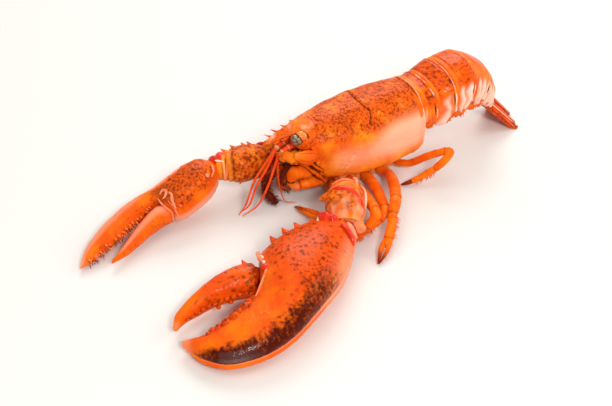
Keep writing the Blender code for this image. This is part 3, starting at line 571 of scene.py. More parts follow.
for word, (stalk, *whips) in FEELERS.items():
    grid = tube(stalk, (2.1, 1.9, 1.5), 60, 24)
    share = np.linspace(0, 1, 60)[:, None]
    joints = hump(share, 0.36, 0.02) + hump(share, 0.7, 0.02)
    collars = hump(share, 0.32, 0.03) + hump(share, 0.66, 0.03)
    parts = [closed(relief(grid, 0.3 * collars - 0.5 * joints), dark=0.6 * joints,
                    pale=0.9 * hump(share, 0.68, 0.07) + 0.5 * hump(share, 0.33, 0.05))]
    for number, whip in enumerate(whips):
        thin = 0.6 if word == "left" and number else 1.0
        grid = tube(whip, np.array((1.15, 0.95, 0.8, 0.62, 0.28)) * thin, 220, 10)
        rings = np.cos(running(grid.mean(axis=1))[:, None] / WHIP_RING * 2 * math.pi)
        parts.append(closed(relief(grid, 0.09 * rings + 0 * grid[..., 0]), dark=0.35 * (rings < -0.4)))
    piece("feeler_" + word, parts, feeler_shell, "feelers", "antennule_" + word)

# ---- Mouth limbs -------------------------------------------------------------------------
# The outer mouth limbs are small legs folded under the face: the left one curls up on itself, the
# right one hangs to the ground. Stiff dark hairs clothe their inner edges.

OUTER_LIMB = {
    "left": (((13.5, -78, 13.0), (14.2, -86, 14.6), (14.2, -93, 15.4), (13.2, -99.4, 14.8),
              (12.4, -103.2, 19.6), (12.8, -101.4, 25.6), (13.6, -95.6, 25.4), (14.0, -90.2, 22.2)),
             (4.0, 4.8, 4.9, 3.8, 3.7, 4.7, 4.9, 3.8)),
    "right": (((-8.5, -84, 12.5), (-5.5, -98, 18.0), (-1.5, -109, 21.0), (1.8, -116.6, 18.5),
               (3.2, -117.6, 11.0), (5.6, -115.4, 5.2), (9.6, -112.6, 2.6)),
              (4.0, 4.0, 3.8, 3.6, 3.4, 3.0, 1.2)),
}
INNER_LIMBS = (((1, -80, 27), (2, -93, 25), (6.5, -104, 22.5), (8.4, -108.5, 16.5), (8.4, -102.5, 9.0)),
               ((16.4, -79.0, 14), (16.6, -83.5, 20.5), (16.0, -89.0, 27.0), (14.2, -95.0, 33.0)),
               ((16.6, -77.0, 19), (16.9, -81.2, 24.5), (16.4, -86.2, 29.5), (15.2, -90.5, 34.0)),
               ((-9, -82, 24), (-9, -92, 23.5), (-6.0, -100, 25), (-2.0, -105, 28)))
INNER_RADII = ((6.5, 5.2, 3.4, 2.8, 1.0), (2.6, 3.4, 3.0, 1.4), (2.0, 2.8, 2.8, 1.6), (3.0, 3.2, 2.4, 0.8))


def bristles(path, radii, count, length, seed, span=(0.0, 1.0), lean=0.8, thick=0.16, toward=None):
    """Stiff hairs on a limb: feet scattered over its surface, pointing out and on toward its tip."""
    rng = np.random.default_rng(seed)
    line = smooth(path, 400)
    along = unit(np.gradient(line, axis=0))
    size = smooth(np.reshape(radii, (-1, 1)), 400)
    at = (rng.uniform(*span, count) * 399).astype(int)
    spread = rng.normal(size=(count, 3)) + (0 if toward is None else np.asarray(toward) * 1.8)
    out = unit(spread - (spread * along[at]).sum(axis=1, keepdims=True) * along[at])
    foot = above(line[at] + out * size[at] * 0.88, 0.4)
    reach = length * rng.uniform(0.55, 1.15, (count, 1))
    tip = above(foot + unit(out + along[at] * lean) * reach, 0.3)
    return spikes(foot, tip, thick, rows=3, around=4)


DOME_ROWS = 4


def domed(grid, bulge=0.45):
    """The grid with four more rows at each end, which close it as a low dome."""
    domes = []
    for edge, inner in ((grid[0], grid[1]), (grid[-1], grid[-2])):
        centre = edge.mean(axis=0)
        wide = np.linalg.norm(edge - centre, axis=1).mean()
        ahead = unit(centre - inner.mean(axis=0)) * wide * bulge
        angle = np.radians(18 * np.arange(1, DOME_ROWS + 1))[:, None, None]
        domes.append(centre + (edge - centre) * np.cos(angle) + ahead * np.sin(angle))
    return np.concatenate([domes[0][::-1], grid, domes[1]])


def limb_grid(path, radii, rows, around, flat, creases=(), seed=1, lumps=0.035):
    """A tube with soft lumps and with creases at shares of its length, closed by domes at both ends.
    Returns the grid and each row's distance from the first and from the last ring."""
    grid = tube(path, radii, rows, around, flat)
    middle = grid.mean(axis=1)
    run = running(middle)[:, None]
    size = np.linalg.norm(grid - middle[:, None], axis=2).mean(axis=1)[:, None]
    height = lumps * size * waves(grid, float(size.max()) * 1.3, seed)
    for share in creases:
        crease = share * run[-1]
        height += 0.10 * size * hump(run, crease - 1.6, 1.3) - 0.2 * size * hump(run, crease, 0.7)
    grid = relief(grid, height)
    run = np.pad(run, ((DOME_ROWS, DOME_ROWS), (0, 0)), mode="edge")
    return domed(grid), run, run[-1] - run


mouth_shell = boiled_shell("mouth_limb_shell", "#FA7C12", "#E85806", "#8A2C06", "#FFB070", "#5E1408",
                           mottle=1.8, blotch=7, rough=0.38, pits=1.0)
setae, tree, shader = blank("horny_hairs")        # stiff chitin hairs, from near black to amber
place = node(tree, "TexCoord").outputs["Object"]
fleck = node(tree, "TexNoise", [("Vector", place), ("Scale", 1000 / 2.0)])
tint = node(tree, "ValToRGB", [("Fac", fleck.outputs["Fac"])],
            [(0.38, "#3A0E06"), (0.50, "#7A260A"), (0.62, "#C25A16")])
tree.links.new(tint.outputs["Color"], shader.inputs["Base Color"])
shader.inputs["Roughness"].default_value = 0.5

for word, (path, radii) in OUTER_LIMB.items():
    grid, run, _ = limb_grid(path, radii, 130, 36, 0.88, (0.42, 0.62, 0.8), seed=5)
    share = run / run.max()
    if word == "left":
        masks = {"spots": 0.25, "pale": 0.35 * hump(share, 0.5, 0.12),
                 "dark": 0.5 * hump(share, 0.42, 0.02) + 0.5 * hump(share, 0.62, 0.02)}
    else:
        masks = {"spots": 0.9, "dark": 0.4 + 0.5 * ease(share, 0.45, 0.7)}
    piece("outer_mouth_limb_" + word, [closed(above(grid, 0.25), **masks)], mouth_shell, "mouth_limbs",
          "maxilliped_" + word)
parts = []
for number, (path, radii) in enumerate(zip(INNER_LIMBS, INNER_RADII)):
    grid, run, _ = limb_grid(path, radii, 60, 28, 0.7, (0.5,), seed=20 + number)
    ridge = hump((np.arange(28)[None, :] / 28 * 360 + 90) % 180, 90, 30)
    parts.append(closed(grid, spots=0.6, dark=0.8 - 0.7 * ridge + 0 * run))
piece("inner_mouth_limbs", parts, mouth_shell, "mouth_limbs", "mouthparts")
hairs = [bristles(*OUTER_LIMB["right"], 420, 3.1, 11, (0.45, 1.0), 0.8),
         bristles(*OUTER_LIMB["left"], 60, 2.2, 12, (0.5, 1.0), 0.6, toward=(0, 0, -1)),
         bristles(INNER_LIMBS[0], INNER_RADII[0], 380, 3.4, 13, (0.5, 1.0), 0.6),
         bristles(INNER_LIMBS[2], INNER_RADII[2], 30, 1.8, 14, (0.4, 1.0), 0.5)]
piece("mouth_hairs", hairs, setae, "mouth_limbs")

# ---- Tail --------------------------------------------------------------------------------
# Six hoops of shell that slide under one another like tiles: the rear edge of each is a pale
# beaded rim over the next. Below, each hangs down in a rounded side plate.

# joint planes in mm: back y and z, side plates' tips y and z, half width
TAIL_JOINTS = ((2.6, 60.2, 3.0, 27.0, 22.6), (10.5, 61.4, 12.5, 28.0, 22.8), (26.0, 68.0, 27.5, 27.5, 23.8),
               (45.5, 69.9, 40.0, 31.0, 23.2), (62.0, 60.6, 49.5, 31.0, 21.2), (70.0, 46.5, 56.5, 28.5, 18.2),
               (72.0, 32.0, 62.5, 24.0, 14.2))
TAIL_POWER, BELLY_RISE = 2.4, 9.0
TAIL_ROWS, TAIL_AROUND, FINE = 60, 160, 1201
TUCKED, RIM = 0.945, 1.018      # the hidden front edge and the rear rim against the joint's hoop


def tail_ring(number):
    """Hoops from just before one joint to just past the next: interpolated planes across the tail,
    each a superellipse whose lower middle is raised to the belly and whose tips are rounded lobes.
    Returns the grid, the share of the ring's length, the fall from the back and the side plates."""
    share = np.linspace(-0.12 if number else -0.8, 1.06, TAIL_ROWS)[:, None]
    line = smooth(TAIL_JOINTS, FINE)
    at = [np.interp(number + share, np.linspace(0, 6, FINE), line[:, k]) for k in range(5)]
    at[0], at[2] = (k + np.minimum(number + share, 0) * 8.5 for k in (at[0], at[2]))
    angle = np.arange(TAIL_AROUND)[None, :] / TAIL_AROUND * 2 * math.pi
    c, s = squared(angle, TAIL_POWER)
    back = np.stack([0 * share, at[0], at[1]], axis=2)
    down = np.stack([0 * share, at[2] - at[0], at[3] - at[1]], axis=2)
    depth = np.linalg.norm(down, axis=2)
    down = down / depth[..., None]
    fall = (1 - c) / 2
    plate = ease(fall, 0.60, 0.95) * ease(np.abs(s), 0.25, 0.6)
    lobe = np.abs(2 * np.clip(share, 0, 1) - 1) ** 2.4
    raised = BELLY_RISE * np.clip(-c, 0, 1) ** 3 * np.exp(-(s / 0.6) ** 2)
    drop = depth * fall - raised - plate * lobe * 0.24 * depth
    grid = back + drop[..., None] * down
    grid[..., 0] = at[4] * s
    if number == 1:                     # the second side plate is the broadest and laps over the first
        grid[..., 1] += plate * (2.0 * share - 5.5 * (1 - share))
        grid[..., 0] += np.sign(s) * plate * 2.0
        grid[..., 2] -= plate * (1 - lobe) * 2.5
    elif number > 1:
        grid[..., 1] += plate * 1.6
    tucked = TUCKED if number else 1.03
    scale = tucked + (1 - tucked) * ease(share, 0.0, 0.13) + (RIM - 1) * ease(share, 0.5, 1.0)
    scale = scale - 0.06 * ease(share, 1.0, 1.06)
    hub = grid.mean(axis=1, keepdims=True)
    grid = hub + (grid - hub) * scale[..., None]
    return grid, share + 0 * fall, fall + 0 * share, plate


tail_shell = boiled_shell("boiled_tail_shell", "#FD8218", "#EC5608", "#8E2804", "#FFCCB6", "#4E1606",
                          mottle=2.6, blotch=12, rough=0.28, pits=1.4, pit_depth=0.07, coat=0.12)
# for each ring: its length in mm, the folds' height in mm and their number, and how strong the
# painted sheen in pink on the flanks, the flecks and the pale beads of the rim are
TAIL_LOOKS = ((8, 0.2, 1.6, 0.15, 1.0, 0.75), (16, 0.45, 2.0, 0.6, 0.88, 0.65),
              (20, 0.7, 2.9, 1.0, 0.76, 0.5), (18, 0.8, 3.3, 1.15, 0.55, 0.3),
              (16, 0.8, 3.2, 1.05, 0.3, 0.2), (15, 0.6, 2.4, 0.9, 0.3, 0.2))
for number, (mm, fold, turns, flank_sheen, flecks, beads) in enumerate(TAIL_LOOKS):
    grid, share, fall, plate = tail_ring(number)
    flank = ease(fall, 0.16, 0.40) * (1 - ease(fall, 0.92, 1.0))
    crest = np.sin(share * turns * 2 * math.pi + 0.8 + 0.8 * waves(grid, 12, 29))
    ripple = fold * crest * flank
    # the groove where the next ring's rim stops, and the swollen middle of the side plate
    step = -0.5 * hump(share, 0.24, 0.045) * (1 - plate) * (number > 0)
    boss = 1.6 * plate * hump(share, 0.42, 0.24) if number == 1 else 0.9 * plate * hump(share, 0.5, 0.22)
    to_rim = (1 - share) * mm
    rim = 0.25 * hump(to_rim, 0.4, 0.4) - 0.25 * hump(to_rim, 1.5, 0.5)
    grid = relief(grid, ripple + step + boss + rim + 0.06 * waves(grid, 5, 30 + number))
    top = ease(fall, 0.42, 0.16)
    spots = top * flecks * ease(share, 0.1, 0.3)
    bead = beads * hump(to_rim, 0.3, 0.35) * ease(waves(grid, 7, 90 + number), -1.6, 0.9)
    centre = plate * ease(np.abs(2 * share - 1), 0.75, 0.35) * ease(fall, 0.99, 0.9)
    # pale: painted sheen in pink over the flanks, paler on the fold crests as painted highlight, and a
    # painted highlight on top of the last three rings; the beads of the rim, the side plates and the second
    # one's pale middle are the shell's own
    pale = (flank * ease(share, 0.12, 0.3) * flank_sheen * (0.76 + 0.38 * crest) + bead
            + (0.9 * centre if number == 1 else 0.45 * plate * (number > 0)) + 0.2 * top * (number > 2))
    if number == 0:
        pale = pale + 0.5 * hump(share, -0.12, 0.12) * flank
    edge = 0.6 * (plate - centre) if number == 1 else 0.0
    # dark: painted shade on the front edge that slides under the ring before, in the groove behind the rim
    # and in a line low on the side near the rim, where the rings part
    gap_shade = 0.8 * hump(to_rim, 1.4, 0.6) * hump(fall, 0.40, 0.12)
    dark = (0.8 * ease(share * mm, 1.0, 0.2) * (number > 0) + 0.25 * hump(to_rim, 1.6, 0.5) * (1 - plate)
            + gap_shade)
    # what shows past the rim is the shadowed inner side, not pale
    pale, dark = pale * ease(share, 1.05, 1.01), dark + 0.7 * ease(share, 1.01, 1.05)
    ring = closed(grid, spots=spots, pale=np.clip(pale - edge, 0, 1), dark=dark)
    piece("tail_ring_%d" % (number + 1), [ring], tail_shell, "tail_shell", "abdomen_%d" % (number + 1))

# ---- Tail fan ----------------------------------------------------------------------------
# The middle blade (telson) and two pairs of side blades: thin ribbed shell, stacked like a closed
# fan with the tips on the ground, each rim set with short hairs.

FAN_ROOT = np.array([0.0, 75.0, 25.5])
FAN_DOWN, FAN_OUT = unit((0.0, 0.68, -0.733)), unit((0.0, 0.733, 0.68))
FAN_REACH, BLADE_STEP = 33.6, 3.0
UNDER_RING = 9.0                # how far each blade runs in under the last hoop
BLADE_WIDE = (0.62, 0.85, 1.0, 0.9, 0.40)
RIM_HAIRS = 110
# each blade's root across the tail, half width, lean in degrees, reach and layer from the top
BLADES = {"telson": (0.0, 7.0, 0.0, 1.0, 0), "uropod_left_inner": (4.5, 5.4, 9.0, 1.0, 1),
          "uropod_left_outer": (6.0, 5.0, 15.0, 1.04, 2), "uropod_right_inner": (-4.5, 5.4, -9.0, 1.0, 1),
          "uropod_right_outer": (-6.0, 5.0, -15.0, 1.04, 2)}
fan_shell = boiled_shell("boiled_fan_shell", "#FC6A0C", "#E84A04", "#9A2E06", "#FFB890", "#6E1C08",
                         mottle=1.8, blotch=8, rough=0.30, pits=1.0, coat=0.1)
fringe_hair = boiled_shell("golden_fringe", "#F57C2A", "#E0601A", "#B8560E", "#F5B060", "#9A4818",
                           mottle=1.5, rough=0.5, pits=1.0, coat=0.0)
fringe = []
rng = np.random.default_rng(7)
for name, (root_x, half, lean, reach, layer) in BLADES.items():
    splay = math.radians(lean)
    along = FAN_DOWN * math.cos(splay) + np.array([math.sin(splay), 0, 0])
    across = np.cross(along, FAN_OUT)
    root = FAN_ROOT + (root_x, 0, 0) - FAN_OUT * layer * BLADE_STEP - along * UNDER_RING
    length = FAN_REACH * reach / math.cos(splay) + UNDER_RING - 0.4
    share = np.linspace(0, 1, 90)[:, None]
    rounded = np.sqrt(1 - np.clip((share - 0.9) / 0.101, 0, 1) ** 2)
    wide = half * smooth(np.reshape(BLADE_WIDE, (-1, 1)), 90) * rounded
    c, s = squared(np.arange(72)[None, :] / 72 * 2 * math.pi, 2.2)
    ribs = 0.22 * np.cos(c * 4 * math.pi) * ease(share, 0.1, 0.3)
    thick = 2.5 - 0.9 * share + ribs + 0.5 * hump(share, 0.12, 0.05)
    grid = (root + along * length * share[..., None] + (wide * c)[..., None] * across
            + (thick * s)[..., None] * FAN_OUT)
    grid = above(grid, 0.05)
    # pale: a painted highlight line along the edges of the two inner side blades; dark: painted shade along
    # the edges of the other blades, where they lie stacked, and darker toward the tips
    rim = (0.8 if layer == 1 else 0.0) * ease(np.abs(c), 0.97, 1.0)
    masks = {"spots": 0.8, "pale": rim + 0 * share,
             "dark": 0.5 * ease(np.abs(c), 0.9, 1.0) * (layer != 1) + 0.5 * ease(share, 0.9, 1.0)}
    piece(name + "_blade", [closed(grid, **masks)], fan_shell, "tail_fan", name)
    spread = rng.uniform(-1, 1, RIM_HAIRS)
    end = 0.955 - 0.10 * np.abs(spread) ** 3
    foot = root + along * (length * end)[:, None] + across * (spread * half * 0.72)[:, None]
    tip = foot + (along * 2.6 + across * (spread * 1.2)[:, None]) * rng.uniform(0.6, 1.1, (RIM_HAIRS, 1))
    fringe.append(spikes(foot, above(tip, 0.15), 0.22, rows=3, around=4))
piece("fan_fringe", fringe, fringe_hair, "tail_fan")

# ---- Swimmerets --------------------------------------------------------------------------
# Pairs of soft paddles hang under the tail: two leaf-like flaps on a short stalk, edged with
# golden hair. The shell's lower edges carry the same ragged hair.

swimmeret_skin = boiled_shell("swimmeret_skin", "#F98E1E", "#F07414", "#B8560E", "#FFB870", "#8A3A10",
                              mottle=2.5, rough=0.42, pits=1.2)
LEAF_WIDE, SKIRT_WIDE = (2.4, 3.8, 3.4, 1.0), (1.2, 2.6, 1.2)
fringe = []
for number in range(1, 6):
    _, _, y0, z0, half = TAIL_JOINTS[number - 1]
    _, _, y1, z1, _ = TAIL_JOINTS[number]
    for word, side in (("left", 1), ("right", -1)):
        root = np.array([side * half * 0.46, (y0 + y1) / 2 + 1.0, (z0 + z1) / 2 + 8.0])
        parts = []
        for outer in (0, 1):
            hang = np.array([side * (1.5 + 3.0 * outer), -5.0 + 3.0 * outer, -11.0 + 1.5 * outer])
            hang *= (0.6, 0.8, 0.8, 0.8, 0.8)[number - 1]
            path = (root, root + hang * 0.3, root + hang * 0.7, root + hang)
            leaf = tube(path, LEAF_WIDE, 36, 24, flat=0.3, up=(side, 0.5, 0.3))
            leaf = relief(leaf, 0.12 * waves(leaf, 3, 50 + number))
            parts.append(closed(leaf, spots=0.3, dark=0.2))
            fringe.append(bristles(path, LEAF_WIDE, 10, 1.3, number * 4 + outer, (0.7, 1.0), 1.2, 0.16))
        nodes = ["swimmeret_%s_%d" % (word, number)] if 2 <= number <= 4 else []
        piece("swimmeret_%s_pair_%d" % (word, number), parts, swimmeret_skin, "swimmerets", *nodes)
for side in (1, -1):
    for number in range(0, 5):
        a, b = TAIL_JOINTS[number], TAIL_JOINTS[number + 1]
        rim = ((side * a[4] * 0.84, a[2], a[3] + 8.5),
               (side * (a[4] + b[4]) * 0.44, (a[2] + b[2]) / 2, (a[3] + b[3]) / 2 + 6.0),
               (side * b[4] * 0.84, b[2], b[3] + 8.5))
        skirt = tube(rim, SKIRT_WIDE, 40, 24, flat=0.3, up=(side, 0, 0))
        lower = skirt[..., 2] < skirt[..., 2].mean(axis=1, keepdims=True)
        skirt[..., 2] += 0.5 * waves(skirt, 2.6, 85) * lower
        fringe.append(closed(skirt, spots=0.6))
        fringe.append(bristles(rim, SKIRT_WIDE, 70, 1.3, 80 + number, (0, 1), 0.1, 0.2, toward=(0, 0, -1)))
piece("tail_fringe", fringe, fringe_hair, "swimmerets")

# ---- Claw arms ---------------------------------------------------------------------------
# Each claw hangs on two thick limb pieces. Between the hard pieces the skin is soft: it shows as
# red, pink and cream folds at the elbow and at the wrist.

ARMS = {
    "left": {"merus": ((13.6, -70, 6.2), (26, -74, 8.0), (38, -77.5, 17), (47, -81, 25.5)),
             "merus_radii": (5.6, 6.0, 8.6, 9.0),
             "carpus": ((48.4, -82.2, 25.7), (54, -85, 26), (64, -90.5, 23.5), (73, -95.5, 19)),
             "carpus_radii": (9.0, 12.8, 13.6, 9.6)},
    "right": {"merus": ((-13.6, -70, 6.2), (-26, -75, 8.5), (-32, -90, 12), (-22.5, -106, 19)),
              "merus_radii": (5.6, 6.4, 8.8, 9.4),
              "carpus": ((-22.0, -107.6, 19.6), (-18, -115.5, 22.5), (-16.5, -130, 25.5),
                         (-20, -142.5, 25.5)),
              "carpus_radii": (9.6, 12.8, 13.4, 9.8)},
}

arm_shell = boiled_shell("boiled_arm_shell", "#FE9426", "#EE6818", "#8A3208", "#FFBC92", "#6A1408",
                         mottle=2.6, blotch=10, dots=4.4, rough=0.34, pits=1.3, pit_depth=0.09)
joint_skin = boiled_shell("soft_joint_skin", "#F0360C", "#D42404", "#9A1A04", "#FFC8B4", "#5A2410",
                          mottle=2.4, blotch=5, flecked=0.3, rough=0.26, pits=1.2, pit_depth=0.16, coat=0.5)
pink_skin = boiled_shell("pale_joint_skin", "#FB9468", "#F27448", "#D84820", "#FFDCC8", "#8A3414",
                         mottle=2.0, blotch=4, flecked=0.3, rough=0.30, pits=1.2, pit_depth=0.14, coat=0.3)


def cord(path, radii, rows=60, around=12, flat=1.0, up=(0, 0, 1), **masks):
    """A closed cord along a path, tapering as its radii say."""
    return closed(domed(tube(path, radii, rows, around, flat, up=up), 0.8), **masks)


for word, side in (("left", 1), ("right", -1)):
    arm = ARMS[word]
    grid, run, left = limb_grid(arm["merus"], arm["merus_radii"], 120, 72, 0.94, (0.36,), seed=41)
    grid = above(grid, 0.1)
    olive = ease(run, 22, 4)
    parts = [closed(grid, spots=0.9 * ease(left, 0, 9), dark=0.30 * olive, pale=0.75 * hump(left, 3.0, 1.6))]
    foot, outward = on_surface(grid, np.array(arm["merus"][2:]) + (0, -6, 9))
    point = foot + unit(outward + (side * 0.8, -0.4, 0)) * 2.6
    parts.append(spikes(foot - outward, point, 1.4, rows=7, around=10, spots=(0.8, 0.6)))
    piece("arm_merus_" + word, parts, arm_shell, "crusher_shell" if side > 0 else "cutter_shell",
          "arm_%s_merus" % word)

# the crusher's carpus: broad, pale orange, with a blunt spine inward, a small one on top and a red
# lobe at the wrist
arm = ARMS["left"]
grid, run, left = limb_grid(arm["carpus"], arm["carpus_radii"], 120, 96, 0.94, (), seed=43, lumps=0.03)
x, y = grid[..., 0], grid[..., 1]
spots = 0.85 * ease(run, 2, 8) * ease(left, 1, 7)
pale = 0.35 * ease(x - y * 0.2, 74, 88) + 0.3 * hump(run, 3, 2) + 0.10 * waves(grid, 6, 45)
crusher_carpus = [closed(grid, spots=spots, pale=pale, dark=0.6 * hump(left, 0.5, 1.2))]
for place, reach, wide in (((51, -97, 29), (-3.2, -3.8, -2.6), 3.8), ((71, -90, 33), (1.2, -2.0, 1.0), 1.6)):
    foot, outward = on_surface(grid, place)
    reach = np.array(reach)
    crusher_carpus.append(spikes(foot - outward * 1.5 - reach * 0.1, foot + reach, wide, rows=10, around=18,
                                 dark=(0.0, 0.2), spots=(0.7, 0.7)))
# its far end: a cream lobe toward the outside and, in front, a mottled lens painted dark as the shade of a
# hollow
knuckle = ball((80.0, -90.6, 21.6), (6.0, 3.8, 4.2), facing((0.5, -0.6, 0.3)))
hollow_shade_lens = ball((74.6, -98.4, 26.0), (3.8, 3.2, 1.8), facing((0.4, -0.3, 1)))
crusher_carpus.append(closed(relief(knuckle, 0.35 * waves(knuckle, 4, 46)), spots=0.75, pale=0.4))
crusher_carpus.append(closed(relief(hollow_shade_lens, 0.2 * waves(hollow_shade_lens, 3, 47)), spots=1.0, dark=0.3))
piece("arm_carpus_left", crusher_carpus, arm_shell, "crusher_shell", "arm_left_carpus")
# soft skin: red cords over the elbow and round the wrist, the red lobe with a faint painted highlight, and
# what fills the wrist, painted dark as shade in the gap
elbow = ((52.4, -93.4, 34.6), (54.5, -91.2, 36.4), (57.6, -87.6, 37.4), (62.0, -85.0, 37.0),
         (66.2, -83.0, 34.8), (70.2, -82.2, 31.0), (72.0, -82.0, 27.0))
wrist = ((82.0, -104.6, 30.6), (86.0, -104.4, 30.6), (90.4, -104.0, 29.2), (94.6, -104.0, 26.6),
         (97.0, -104.6, 23.6))
lobe = ball((70.2, -106.4, 25.4), (8.4, 5.8, 5.0), facing((0.5, -0.8, 0.1)), 30, 40)
lobes = [closed(relief(lobe, 0.3 * waves(lobe, 5, 48)), spots=0.5, pale=0.12),
         cord(elbow, (1.2, 2.1, 2.0, 1.9, 1.8, 1.5, 0.8), 80, 16, flat=0.75),
         cord(wrist, (0.9, 1.5, 1.6, 1.4, 0.7), 80, 16, flat=0.8),
         closed(ball((75.0, -97.5, 18.0), (9.4, 9.4, 6.0), facing((0.5, -0.85, -0.1))), spots=1.0, dark=0.4)]
piece("arm_folds_left", lobes, joint_skin, "crusher_shell")
# pale skin: a hoop at the elbow, and flaps along the outside, over the elbow and at the wrist
flaps = [hoop((47.2, -81.0, 25.6), (0.72, -0.38, 0.05), 9.4, 0.9, spots=0.6, pale=0.1),
         cord(((50.0, -69.8, 27.4), (56.4, -70.6, 27.0), (63.0, -74.0, 25.4), (69.6, -79.0, 23.4),
               (73.6, -82.0, 20.6)), (0.8, 1.7, 2.0, 1.7, 0.7), flat=0.5, up=(1, 0.6, 0), pale=0.5),
         cord(((45.6, -73.2, 32.8), (49.4, -73.6, 33.4), (54.4, -75.6, 31.0)), (0.8, 1.4, 0.8), pale=0.2),
         cord(((83.2, -100.6, 30.6), (86.6, -101.0, 30.2), (90.4, -101.0, 28.8), (94.0, -101.0, 26.0)),
              (1.0, 1.7, 1.7, 1.0), pale=0.25),
         cord(((62.0, -110.6, 25.0), (66.6, -113.6, 26.4), (71.6, -114.4, 27.6), (75.8, -111.4, 28.8)),
              (0.3, 0.8, 0.8, 0.3), pale=0.7)]
piece("arm_flaps_left", flaps, pink_skin, "crusher_shell")

# the cutter's carpus: orange with dark blotches, a row of red spines along its top, and the
# wrist's folds in bands
arm = ARMS["right"]
grid, _, left = limb_grid(arm["carpus"], arm["carpus_radii"], 120, 96, 0.94, (), seed=44, lumps=0.03)
front = ease(grid[..., 0], -20, -12)
grid = relief(grid, (-0.6 * hump(left, 8.4, 0.7) + 0.35 * hump(left, 6.2, 1.0) - 0.6 * hump(left, 4.4, 0.7)
                     + 0.35 * hump(left, 2.6, 0.8) - 0.5 * hump(left, 1.0, 0.6)))
dark = ((0.6 * hump(left, 8.4, 1.1) + 0.3 * hump(left, 6.4, 1.2) + 0.65 * hump(left, 4.3, 0.9)) * front
        + 0.5 * hump(left, 0.8, 0.8))
cutter_carpus = [closed(grid, spots=ease(left, 6, 10), pale=0.6 * hump(left, 2.6, 0.9) * front, dark=dark)]
for place, reach in (((-28.0, -135, 33), (-1.2, -2.5, 1.9)), ((-24.5, -128.4, 35.5), (-1.0, -2.6, 2.1)),
                     ((-21.5, -121.6, 34.5), (-0.7, -2.4, 2.2)), ((-21.5, -116, 35.5), (-1.3, -2.8, 2.8)),
                     ((-13.2, -129.5, 19), (1.8, -1.8, -0.4)), ((-9.5, -122, 33), (1.0, -1.9, 1.3))):
    foot, outward = on_surface(grid, place)
    cutter_carpus.append(spikes(foot - outward, foot + np.array(reach), 1.5, rows=8, around=14,
                                dark=(0.1, 0.35), spots=(0.9, 0.7)))
piece("arm_carpus_right", cutter_carpus, arm_shell, "cutter_shell", "arm_right_carpus")
# soft skin: a lobe with a faint painted highlight, a hoop at the elbow, and what fills the wrist, painted
# dark as shade in the gap
lobes = [closed(ball((-20.2, -140.8, 31.6), (6.2, 4.6, 4.4), facing((-0.3, -0.95, 0.1))), pale=0.12),
         hoop((-22.2, -106.4, 19.2), (0.3, -0.9, 0.3), 10.4, 1.2),
         closed(ball((-20.4, -143.0, 25.4), (9.4, 9.4, 5.0), facing((0.25, -0.95, -0.19))), dark=0.35)]
piece("arm_folds_right", lobes, joint_skin, "cutter_shell")
flaps = [cord(((-19.6, -146.0, 33.0), (-16.8, -145.0, 33.8), (-13.4, -141.8, 34.2)), (0.3, 0.7, 0.4),
              pale=0.95),
         cord(((-15.6, -150.6, 33.6), (-12.6, -151.0, 34.0), (-8.9, -152.0, 32.6), (-6.0, -155.0, 31.0)),
              (0.4, 0.8, 0.8, 0.4), pale=0.2),
         cord(((-11.4, -140.6, 33.0), (-9.4, -141.6, 28.5), (-9.2, -142.2, 22.0)), (0.4, 0.7, 0.4), pale=0.1),
         closed(ball((-7.8, -157.4, 31.6), (1.6, 1.6, 1.5)), pale=0.2)]
piece("arm_flaps_right", flaps, pink_skin, "cutter_shell")

# ---- Crusher claw ------------------------------------------------------------------------
# The big left claw: a deep palm that runs out into the fixed finger, and the hinged finger
# (dactyl) against it. Blunt molars line the gap, and three thorns stand on the inner edge.

# the claw's own plane: its origin at the wrist, and its axes along, outward and up
CRUSHER = (np.array([73.0, -95.5, 0.0]),
           np.stack([unit((0.224, -0.9746, 0.0)), unit((0.9746, 0.224, 0.0)), (0.0, 0.0, 1.0)]))
# ribs across the claw in its own plane, in mm: inner edge (s, u), outer edge (s, u), half
# thickness and height of the middle; s runs from the wrist to the tip and u outward
CRUSHER_PALM = ((9.5, -8.0, -2.0, 6.8, 7.6, 18.0), (15.5, -12.2, 5.2, 14.8, 12.0, 17.0),
                (25.0, -16.5, 20.0, 25.6, 16.6, 17.4), (40.0, -17.6, 40.0, 37.0, 18.4, 18.5),
                (54.0, -16.0, 60.0, 43.5, 18.4, 18.5), (66.0, -12.6, 77.0, 48.0, 16.8, 17.0),
                (82.0, 6.5, 93.0, 50.2, 14.0, 14.6), (95.0, 9.5, 108.0, 49.5, 12.5, 12.9),
                (109.0, 11.5, 122.0, 45.0, 11.0, 11.4), (121.0, 11.5, 134.0, 36.5, 9.0, 9.6),
                (131.5, 7.5, 140.5, 22.0, 6.4, 7.6), (139.0, 1.2, 142.2, 5.0, 1.6, 6.5))
CRUSHER_FINGER = ((71.5, -14.5, 85.0, 3.5, 10.0, 14.6), (80.0, -18.6, 90.0, -0.5, 10.4, 14.4),
                  (93.0, -20.8, 98.0, -4.2, 9.6, 13.6), (107.0, -20.8, 107.5, -7.6, 8.2, 12.2),
                  (121.0, -18.6, 119.5, -9.0, 6.0, 10.6), (131.0, -15.8, 129.0, -9.4, 4.4, 9.4),
                  (138.0, -10.0, 136.5, -7.4, 1.8, 8.6))
CRUSHER_THORNS = ((19.0, -11.0, 24.0), (29.5, -14.8, 26.0), (39.8, -16.0, 26.0), (50.4, -16.3, 26.0))


